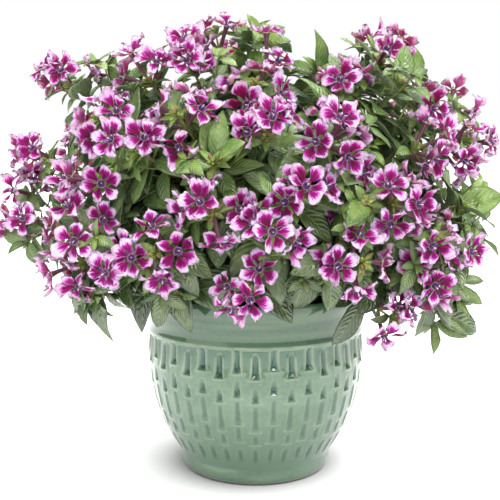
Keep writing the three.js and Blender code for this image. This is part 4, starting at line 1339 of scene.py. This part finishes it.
def petal_skins(blooms):
    """Closed petals. A ring is a thin ellipse carried outwards from the claw: its half width is narrow at the
    claw, full at two thirds and more or less pointed at the end. Each edge wanders by its own sine wave, the
    blade twists round its midline, and its height is crinkled by waves along and across it. What would reach
    past the main growth's span bends back by a share of the excess."""
    v = PETAL_RINGS[None, :, None]
    turn = 2 * np.pi * np.arange(PETAL_POINTS)[None, None] / PETAL_POINTS
    u = np.sin(turn)
    count = PETALS * len(blooms)
    draw = petal_draw.random((count, 13, 1, 1))
    size = np.repeat([bloom["size"] for bloom in blooms], PETALS)[:, None, None]
    petal = np.tile(np.arange(PETALS), len(blooms))[:, None, None]
    upper = (petal == 1) | (petal == 2)
    angle = 2 * petal * np.pi / PETALS + 0.3 * (draw[:, 0] - 0.5)
    reach = size * PETAL_REACH * (0.9 + 0.14 * draw[:, 1]) * np.where(upper, 1.12, 0.99)
    wide = size * PETAL_HALF_WIDTH * (0.86 + 0.24 * draw[:, 2]) * np.where(upper, 1.05, 1.0)
    end = np.clip((v - 0.55) / 0.45, 0, 1)
    outline = (0.16 + 0.84 * eased(0.1, 0.6, v)) * (1 - end ** (1.9 + 1.4 * draw[:, 10])) ** 0.6
    edge = 1 + 0.2 * v * np.sin(2 * np.pi * (1.9 * v + draw[:, 3]) + 2.1 * np.sign(u))
    frill = petal_draw.uniform(-1, 1, (3, count, len(PETAL_RINGS), PETAL_POINTS)) * v
    plain_half = wide * outline * edge
    half = plain_half * (1 + 0.14 * frill[0])
    bend = (draw[:, 4] - 0.45) * PETAL_BEND
    crinkle = (
        1.7 * v * np.sin(2 * np.pi * (0.8 * u + 0.9 * v + draw[:, 5]))
        + 1.3 * v**2 * np.sin(2 * np.pi * (1.4 * u + draw[:, 6]))
        + 0.9 * v * np.sin(2 * np.pi * (1.6 * v + draw[:, 7]))
    )
    cup = (0.7 * draw[:, 8] - 0.15) * plain_half * u**2
    lift = -0.4 + 2.4 * v + bend * v**2 + crinkle + cup + PETAL_THICK * np.cos(turn)
    lift = lift + 0.7 * frill[1] * np.abs(u)
    twist = (draw[:, 11] - 0.5) * 2.2 * v + (draw[:, 12] - 0.5) * 0.7
    out = CLAW_FROM + (reach - CLAW_FROM) * v + 0.55 * frill[2] * v
    aside = u * half * np.cos(twist) - lift * np.sin(twist) * 0.5
    high = lift + u * half * np.sin(twist)
    facing = of_each(blooms, "facing", PETALS)
    radial = (
        np.cos(angle)[..., None] * of_each(blooms, "first", PETALS)
        + np.sin(angle)[..., None] * of_each(blooms, "second", PETALS)
    )
    places = (
        of_each(blooms, "throat", PETALS)
        + radial * out[..., None]
        + np.cross(radial, facing) * aside[..., None]
        + facing * high[..., None]
    )
    lowest, highest = (np.array(corner) / MM for corner in cad_box)
    places = PETAL_GIVE * np.clip(places, lowest, highest) + (1 - PETAL_GIVE) * places
    shape = places.shape[:3]
    return skins(
        places,
        along=np.broadcast_to(v, shape),
        over=np.broadcast_to(u, shape),
        above=np.broadcast_to(np.cos(turn), shape),
        seed=draw[:, 9, 0, 0],
    )


def petal_finish():
    """How far a point lies from the core, by its places along and over the petal and by noise that is
    stretched along it, picks the colour from crimson through magenta to the margin. The back is paler."""
    finish, tree, surface = new_finish("petal_blade", Roughness=0.6, Specular_IOR_Level=0.16,
                                       Subsurface_Weight=0.3, Subsurface_Scale=0.0015)
    along = read(tree, "along")
    over = read(tree, "over")
    seed = read(tree, "seed")
    joined = tree.nodes.new("ShaderNodeCombineXYZ")
    for value, socket in zip((along, over, times(tree, seed, 40.0)), joined.inputs):
        feed(tree, value, socket)
    streak = cloudy(tree, 1.0, (2.0, 5.0, 1.0), 4.0, joined.outputs[0])
    fine = cloudy(tree, 1.0, (2.6, 15.0, 1.0), 3.0, joined.outputs[0])
    sides = sums(tree, "POWER", sums(tree, "ABSOLUTE", over), 2.4)
    ahead = sums(tree, "POWER", sums(tree, "DIVIDE", along, 0.68), 3.0)
    away = plus(tree, times(tree, sides, 0.6), times(tree, ahead, 0.54))
    feather = times(tree, less(tree, streak, 0.5), 1.3)
    rays = times(tree, less(tree, fine, 0.5), 0.9)
    ragged = plus(tree, away, plus(tree, feather, rays))
    spread = plus(tree, ragged, times(tree, less(tree, seed, 0.5), 0.4))
    ramp = tree.nodes.new("ShaderNodeValToRGB")
    while len(ramp.color_ramp.elements) < len(PETAL_TONES):
        ramp.color_ramp.elements.new(0.5)
    for element, (place, colour) in zip(ramp.color_ramp.elements, PETAL_TONES):
        element.position = place
        element.color = tone(*colour)
    tree.links.new(spread, ramp.inputs[0])
    veined = blended(tree, stepped(tree, fine, 0.48, 0.66, 0.0, 0.42), ramp.outputs[0], tone(98, 4, 70))
    claw = blended(tree, stepped(tree, along, 0.02, 0.14, 0.5, 0.0), veined, tone(196, 160, 206))
    back = blended(tree, 0.35, claw, tone(206, 130, 192))
    front = stepped(tree, read(tree, "above"), *FACE_EDGE)
    tree.links.new(blended(tree, front, back, claw), surface.inputs["Base Color"])
    raised(tree, surface, fine, 0.0009, 0.8)
    return finish


petal_blade = petal_finish()
for shoot in shoots:
    if shoot["blooms"]:
        make_piece(f"petals_spray_{shoot['number']}", [petal_skins(shoot["blooms"])], [petal_blade],
                   [f"spray_{shoot['number']}"])

# Calyces: ribbed, downy tubes of dusky purple on a short green axis. Each opens in a cream rim round a dark
# violet throat, filled by short woolly stamens and one pale style.
CALYX_PROFILE = np.array([
    (0.0, 0.8), (0.07, 1.6), (0.2, 1.7), (0.5, 1.6), (0.76, 1.8), (0.92, 2.5), (0.985, 3.2), (0.97, 2.4),
    (0.9, 1.5), (0.88, 0.6),
])
CALYX_POINTS = 8
MOUTH_FROM = 6
AXIS_RADIUS = 1.15
STAMENS = 7
STAMEN_ROOT = 2.4
STAMEN_PROFILE = np.array([(0, 0.3), (0.5, 0.28), (0.78, 0.62), (0.97, 0.3)])
calyx_draw = np.random.default_rng(21)


def calyx_skins(blooms):
    """The profile turned round the line from foot to throat, with a slight bow to one side, and back down
    inside the mouth. The value mouth is 1 on the rim and 2 inside it."""
    share, radius = CALYX_PROFILE.T
    turn = 2 * np.pi * np.arange(CALYX_POINTS)[:, None] / CALYX_POINTS
    foot, throat, first, second = (of_each(blooms, key, 1) for key in ("foot", "throat", "first", "second"))
    bow = (calyx_draw.random((len(blooms), 1, 1, 1)) - 0.5) * 2.4 * np.sin(np.pi * share)[:, None, None]
    middle = foot + (throat - foot) * share[:, None, None] + bow * second
    places = middle + radius[:, None, None] * (np.cos(turn) * first + np.sin(turn) * second)
    shape = places.shape[:3]
    step = np.arange(len(share))[None, :, None]
    return skins(
        places,
        along=np.broadcast_to(share[None, :, None], shape),
        mouth=np.broadcast_to((step >= MOUTH_FROM) + 1.0 * (step > MOUTH_FROM), shape),
        rib=np.broadcast_to(np.arange(CALYX_POINTS) % 2, shape),
        seed=calyx_draw.random(len(blooms)),
    )


def stamen_skins(blooms):
    """Short threads round the mouth, and a first one in the middle that is thicker and pale: the style. Each
    leans outwards with the square of its length and ends in a small knob."""
    share, thick = STAMEN_PROFILE.T
    draw = calyx_draw.random((STAMENS * len(blooms), 3, 1, 1))
    number = np.tile(np.arange(STAMENS), len(blooms))[:, None, None]
    style = (number == 0).astype(float)
    angle = (2 * np.pi * (number / (STAMENS - 1) + 0.1 * draw[:, 0]))[..., None]
    length = 2.6 + 2.2 * draw[:, 1] + 1.2 * style
    throat, facing, first, second = (
        of_each(blooms, key, STAMENS) for key in ("throat", "facing", "first", "second")
    )
    out = np.cos(angle) * first + np.sin(angle) * second
    s = share[None, :, None]
    stand = (1.4 + 1.2 * s**2 * (0.4 + draw[:, 2])) * (1 - 0.8 * style)
    rise = (length + 1.6) * s
    path = throat - STAMEN_ROOT * facing + out * stand[..., None] + facing * rise[..., None]
    turn = 2 * np.pi * np.arange(3)[:, None] / 3
    places = path + thick[:, None, None] * (np.cos(turn) * first + np.sin(turn) * second)
    return skins(places, finish=1, style=style[:, 0, 0], tip=np.broadcast_to(s, places.shape[:3]))


def axis_tube(shoot):
    """The short axis that carries the blooms, from the shoot's end to its own end, thicker at its joint."""
    end = shoot["node"] + NODE_HALF * shoot["direction"]
    for bloom in shoot["blooms"]:
        if bloom["central"]:
            end = bloom["foot"] + 0.5 * bloom["facing"]
    share = np.linspace(0, 1, 6)
    path = shoot["end"] * (1 - share[:, None]) + end * share[:, None]
    radius = AXIS_RADIUS + 0.25 * np.exp(-(((share - 0.6) / 0.2) ** 2))
    return tube(path, radius, 7, along=0.02, mouth=0.0, rib=0.0, seed=0.5)


def calyx_finish():
    """Dusky purple with paler ribs, greener at the foot and on the axis, cream on the rim and violet
    inside."""
    finish, tree, surface = new_finish("calyx_skin", Roughness=0.6)
    mouth = read(tree, "mouth")
    mottle = stepped(tree, cloudy(tree, 600), 0.3, 0.7)
    purple = blended(tree, mottle, tone(74, 28, 54), tone(104, 52, 76))
    ribbed = blended(tree, times(tree, read(tree, "rib"), 0.4), purple, tone(140, 100, 110))
    green = blended(tree, mottle, tone(98, 108, 52), tone(136, 140, 78))
    body = blended(tree, stepped(tree, read(tree, "along"), 0.02, 0.34), green, ribbed)
    cream = blended(tree, stepped(tree, mouth, 0.2, 0.8), body, tone(206, 190, 140))
    violet = blended(tree, mottle, tone(76, 38, 92), tone(116, 82, 130))
    throat = blended(tree, stepped(tree, mouth, 1.1, 1.7), cream, violet)
    tree.links.new(throat, surface.inputs["Base Color"])
    raised(tree, surface, cloudy(tree, 1400, detail=2.0), 0.0003)
    return finish


def stamen_finish():
    """Violet wool, darker at the knobs, and a whitish style."""
    finish, tree, surface = new_finish("stamen_wool", Roughness=0.6)
    knob = stepped(tree, read(tree, "tip"), 0.6, 0.8)
    wool = blended(tree, knob, tone(128, 84, 150), tone(84, 44, 104))
    whitish = blended(tree, read(tree, "style"), wool, tone(226, 214, 222))
    tree.links.new(whitish, surface.inputs["Base Color"])
    return finish


calyx_skin = calyx_finish()
stamen_wool = stamen_finish()
for shoot in shoots:
    if shoot["blooms"]:
        parts = [axis_tube(shoot), calyx_skins(shoot["blooms"]), stamen_skins(shoot["blooms"])]
        make_piece(f"calyces_spray_{shoot['number']}", parts, [calyx_skin, stamen_wool])

# Tips: every shoot goes on growing between its blooms, in a tuft of small hairy buds, yellow green with red
# points, among the youngest leaves.
TUFT_REACH = 13
TUFT_LEAVES = 7
BUDS = 9
BUD_PROFILE = np.array([(0, 0.35), (0.2, 0.6), (0.5, 0.95), (0.75, 1.0), (0.92, 0.6), (1.0, 0.15)])
HAIRS = 10
HAIR_LENGTH = 1.3
HAIR_PROFILE = np.array([(0.0, 0.09), (1.0, 0.02)])
OBLIQUE = np.array([0.31, 0.47, 0.83])
tuft_draw = np.random.default_rng(13)


def tuft_of(shoot):
    """The frame that the tuft grows from. Where no bloom ends the axis, the axis goes on between the
    blooms."""
    if not shoot["blooms"]:
        return frame_along(shoot, shoot["lengths"][-1])
    ended = any(bloom["central"] for bloom in shoot["blooms"])
    reach = 0 if ended else TUFT_REACH
    return {**shoot["around"], "point": shoot["node"] + reach * shoot["direction"]}


def tuft_axis(shoot):
    """The green stalk from the blooms' joint to the tuft."""
    share = np.linspace(0, 1, 4)[:, None]
    foot = shoot["node"] - shoot["direction"]
    end = tuft_of(shoot)["point"] + 2 * shoot["direction"]
    return tube(foot * (1 - share) + end * share, np.linspace(1.0, 0.7, 4), 6)


def bud_lines(shoot):
    """Foot, direction, length and radius of each bud, turned by the golden angle and tilted further outwards
    the lower it stands."""
    tuft = tuft_of(shoot)
    lines = []
    for k in range(BUDS):
        rank = k / (BUDS - 1)
        turn = GOLDEN_TURN * k + 0.4 * tuft_draw.random()
        tilt = np.radians(8 + 62 * rank + 14 * (tuft_draw.random() - 0.5))
        way = leaving(tuft, tilt, turn)
        foot = tuft["point"] + tuft["direction"] * (5.0 - 4.0 * rank) + 0.5 * way
        length = 4.5 + 5.5 * rank * tuft_draw.uniform(0.5, 1.0)
        lines.append((foot, way, length, 0.95 + 0.6 * rank))
    return lines


def bud_skins(lines):
    """Small clubs: the radius is narrow at the foot, full at two thirds and pointed at the end."""
    share, width = BUD_PROFILE.T
    turn = 2 * np.pi * np.arange(6)[:, None] / 6
    foot, way, length, radius = (np.stack([line[k] for line in lines]) for k in range(4))
    first = unit(np.cross(way, OBLIQUE))[:, None, None]
    foot = foot[:, None, None]
    way = way[:, None, None]
    ring = np.cos(turn) * first + np.sin(turn) * np.cross(way, first)
    run = way * length[:, None, None, None] * share[:, None, None]
    places = foot + run + radius[:, None, None, None] * width[:, None, None] * ring
    return skins(places, along=np.broadcast_to(share[None, :, None], places.shape[:3]),
                 seed=tuft_draw.random(len(lines)))


def hair_skins(lines):
    """Fine stiff hairs that stand off the buds: three-sided spikes from random places on each."""
    count = HAIRS * len(lines)
    foot, way, run, radius = (np.repeat(np.stack([line[k] for line in lines]), HAIRS, 0) for k in range(4))
    place = tuft_draw.uniform(0.15, 0.98, (count, 1))
    turn = 2 * np.pi * tuft_draw.random((count, 1))
    first = unit(np.cross(way, OBLIQUE))
    out = np.cos(turn) * first + np.sin(turn) * np.cross(way, first)
    lean = unit(out + 0.5 * way)
    start = foot + way * place * run[:, None] + out * (0.75 * radius)[:, None]
    reach = HAIR_LENGTH * tuft_draw.uniform(0.6, 1.2, (count, 1))
    sideways = np.cross(np.cross(lean, way), lean)
    angle = 2 * np.pi * np.arange(3)[None, :, None] / 3
    ring = np.cos(angle) * unit(sideways)[:, None] + np.sin(angle) * unit(np.cross(lean, sideways))[:, None]
    share, thin = HAIR_PROFILE.T
    path = start[:, None] + lean[:, None] * reach[:, None] * share[None, :, None]
    return skins(path[:, :, None] + thin[None, :, None, None] * ring[:, None], finish=2)


def tuft_leaves(shoot):
    """Small leaves that open from the tuft between the buds, the lower ones longer."""
    tuft = tuft_of(shoot)
    leaves = []
    reach = 1.0 if shoot["blooms"] else 1.25
    for k in range(TUFT_LEAVES):
        rank = k / (TUFT_LEAVES - 1)
        turn = GOLDEN_TURN * k + 1.1 + 0.5 * tuft_draw.random()
        tilt = np.radians(24 + 44 * rank + 12 * (tuft_draw.random() - 0.5))
        direction = leaving(tuft, tilt, turn)
        leaves.append({
            "root": tuft["point"] + tuft["direction"] * (3.0 - 4.0 * rank), "direction": direction,
            "normal": across(direction, tuft["direction"] + 0.3 * UP),
            "arch": np.radians(30 + 50 * tuft_draw.random()),
            "length": reach * (9 + 13 * rank * tuft_draw.uniform(0.6, 1.0)), "place": 0,
        })
    return leaves


def bud_finish():
    """Yellow green, flushed red towards the point on some of the buds."""
    finish, tree, surface = new_finish("bud_skin", Roughness=0.5)
    mottle = stepped(tree, cloudy(tree, 700), 0.3, 0.7)
    green = blended(tree, mottle, tone(112, 130, 44), tone(158, 170, 76))
    pointed = stepped(tree, read(tree, "along"), 0.4, 1.0)
    flush = times(tree, pointed, stepped(tree, read(tree, "seed"), 0.45, 0.9))
    tree.links.new(blended(tree, flush, green, tone(160, 74, 84)), surface.inputs["Base Color"])
    return finish


bud_skin = bud_finish()
hair_skin, _, _ = new_finish("pale_hair", Roughness=0.5, Base_Color=tone(206, 210, 160))
for clump in CLUMPS:
    own = [s for s in shoots if s["name"] == clump]
    lines = [line for s in own for line in bud_lines(s)]
    small = [leaf for s in own for leaf in tuft_leaves(s)]
    young = blades(small, 6, 6, leaf_draw.uniform(0.4, 0.9, len(small)))
    stalks = [tuft_axis(s) for s in own if s["blooms"]]
    parts = [bud_skins(lines), hair_skins(lines), {**young, "finish": 1}, *stalks]
    make_piece(f"tips_{clump}", parts, [bud_skin, leaf_blade, hair_skin])

# Stage: a plain pale floor in a white studio, with a broad key light from the upper right, weaker ones from
# the left and from behind, and a light of its own for the floor. Only the planter casts a shadow there, a
# short one to the left of the foot.
FLOOR_HALF = 30.0
FLOOR_TONE = 0.57
ROOM_LIGHT = 1.14
ROOM_MIRRORED = 0.38
# Each light's name, place in metres, softness in degrees and power.
PLANT_LIGHTS = [
    ("key_light", (0.5, -0.8, 1.6), 36, 2.95),
    ("fill_light", (-1.2, -0.8, 0.7), 60, 0.7),
    ("back_light", (0.2, 1.0, 1.5), 40, 1.3),
]
FLOOR_LIGHT = ("floor_light", (0.31, -0.2, 2.2), 62, 7.8)
CAMERA_PLACE = (0.0, -0.775, 0.2915)
CAMERA_PITCH = np.radians(7.3)
FOCAL_PIXELS = 881
PHOTO_PIXELS = 500
POT_AXIS_PIXEL = 255.5
SENSOR = 36


def add_floor():
    """A wide level sheet under the planter."""
    mesh = bpy.data.meshes.new("floor")
    corners = [(x * FLOOR_HALF, y * FLOOR_HALF, 0) for x, y in ((-1, -1), (1, -1), (1, 1), (-1, 1))]
    mesh.from_pydata(corners, [], [(0, 1, 2, 3)])
    finish, _, _ = new_finish("pale_floor", Base_Color=(FLOOR_TONE, FLOOR_TONE, FLOOR_TONE, 1), Roughness=0.9)
    mesh.materials.append(finish)
    floor = bpy.data.objects.new("floor", mesh)
    bpy.context.scene.collection.objects.link(floor)
    return floor


def group_of(name, objects):
    """A group of objects that a light can be limited to."""
    group = bpy.data.collections.new(name)
    for each in objects:
        group.objects.link(each)
    return group


def add_sun(name, place, softness, power, lit, shading=None):
    """A distant light that shines from the place to the middle of the plant, as soft as its angle in degrees
    is wide. It falls on the lit group, and only the shading group stands in its way, or everything."""
    lamp = bpy.data.lights.new(name, "SUN")
    lamp.angle = np.radians(softness)
    lamp.energy = power
    light = bpy.data.objects.new(name, lamp)
    light.rotation_euler = (-Vector(place)).to_track_quat("-Z", "Y").to_euler()
    light.location = place
    light.light_linking.receiver_collection = lit
    if shading:
        light.light_linking.blocker_collection = shading
    bpy.context.scene.collection.objects.link(light)


def add_camera():
    """The photograph's view: level with the blooms, tilted slightly down."""
    lens = bpy.data.cameras.new("camera")
    lens.sensor_width = SENSOR
    lens.lens = FOCAL_PIXELS / PHOTO_PIXELS * SENSOR
    lens.shift_x = (PHOTO_PIXELS / 2 - POT_AXIS_PIXEL) / PHOTO_PIXELS
    camera = bpy.data.objects.new("camera", lens)
    camera.location = CAMERA_PLACE
    camera.rotation_euler = (np.pi / 2 - CAMERA_PITCH, 0, 0)
    bpy.context.scene.collection.objects.link(camera)
    bpy.context.scene.camera = camera


def add_world():
    """A white room. It shines on matt surfaces with a little more light than is seen of it, and glossy ones
    mirror about four tenths, as though it were darker behind the camera."""
    world = bpy.data.worlds.new("studio")
    world.use_nodes = True
    tree = world.node_tree
    background = tree.nodes["Background"]
    background.inputs["Color"].default_value = (1, 1, 1, 1)
    ray = tree.nodes.new("ShaderNodeLightPath")
    matt = sums(tree, "MULTIPLY_ADD", ray.outputs["Is Diffuse Ray"], ROOM_LIGHT - 1.0, 1.0)
    mirrored = sums(tree, "MULTIPLY_ADD", ray.outputs["Is Glossy Ray"], ROOM_MIRRORED - 1.0, matt)
    tree.links.new(mirrored, background.inputs["Strength"])
    bpy.context.scene.world = world


pieces = [each for each in bpy.context.scene.objects if each.type == "MESH"]
floor = add_floor()
whole_plant = group_of("whole_plant", pieces)
floor_only = group_of("floor_only", [floor])
planter_only = group_of("planter_only", [planter])
for light in PLANT_LIGHTS:
    add_sun(*light, whole_plant)
add_sun(*FLOOR_LIGHT, floor_only, planter_only)
add_camera()
add_world()
bpy.context.scene.view_settings.view_transform = "Standard"
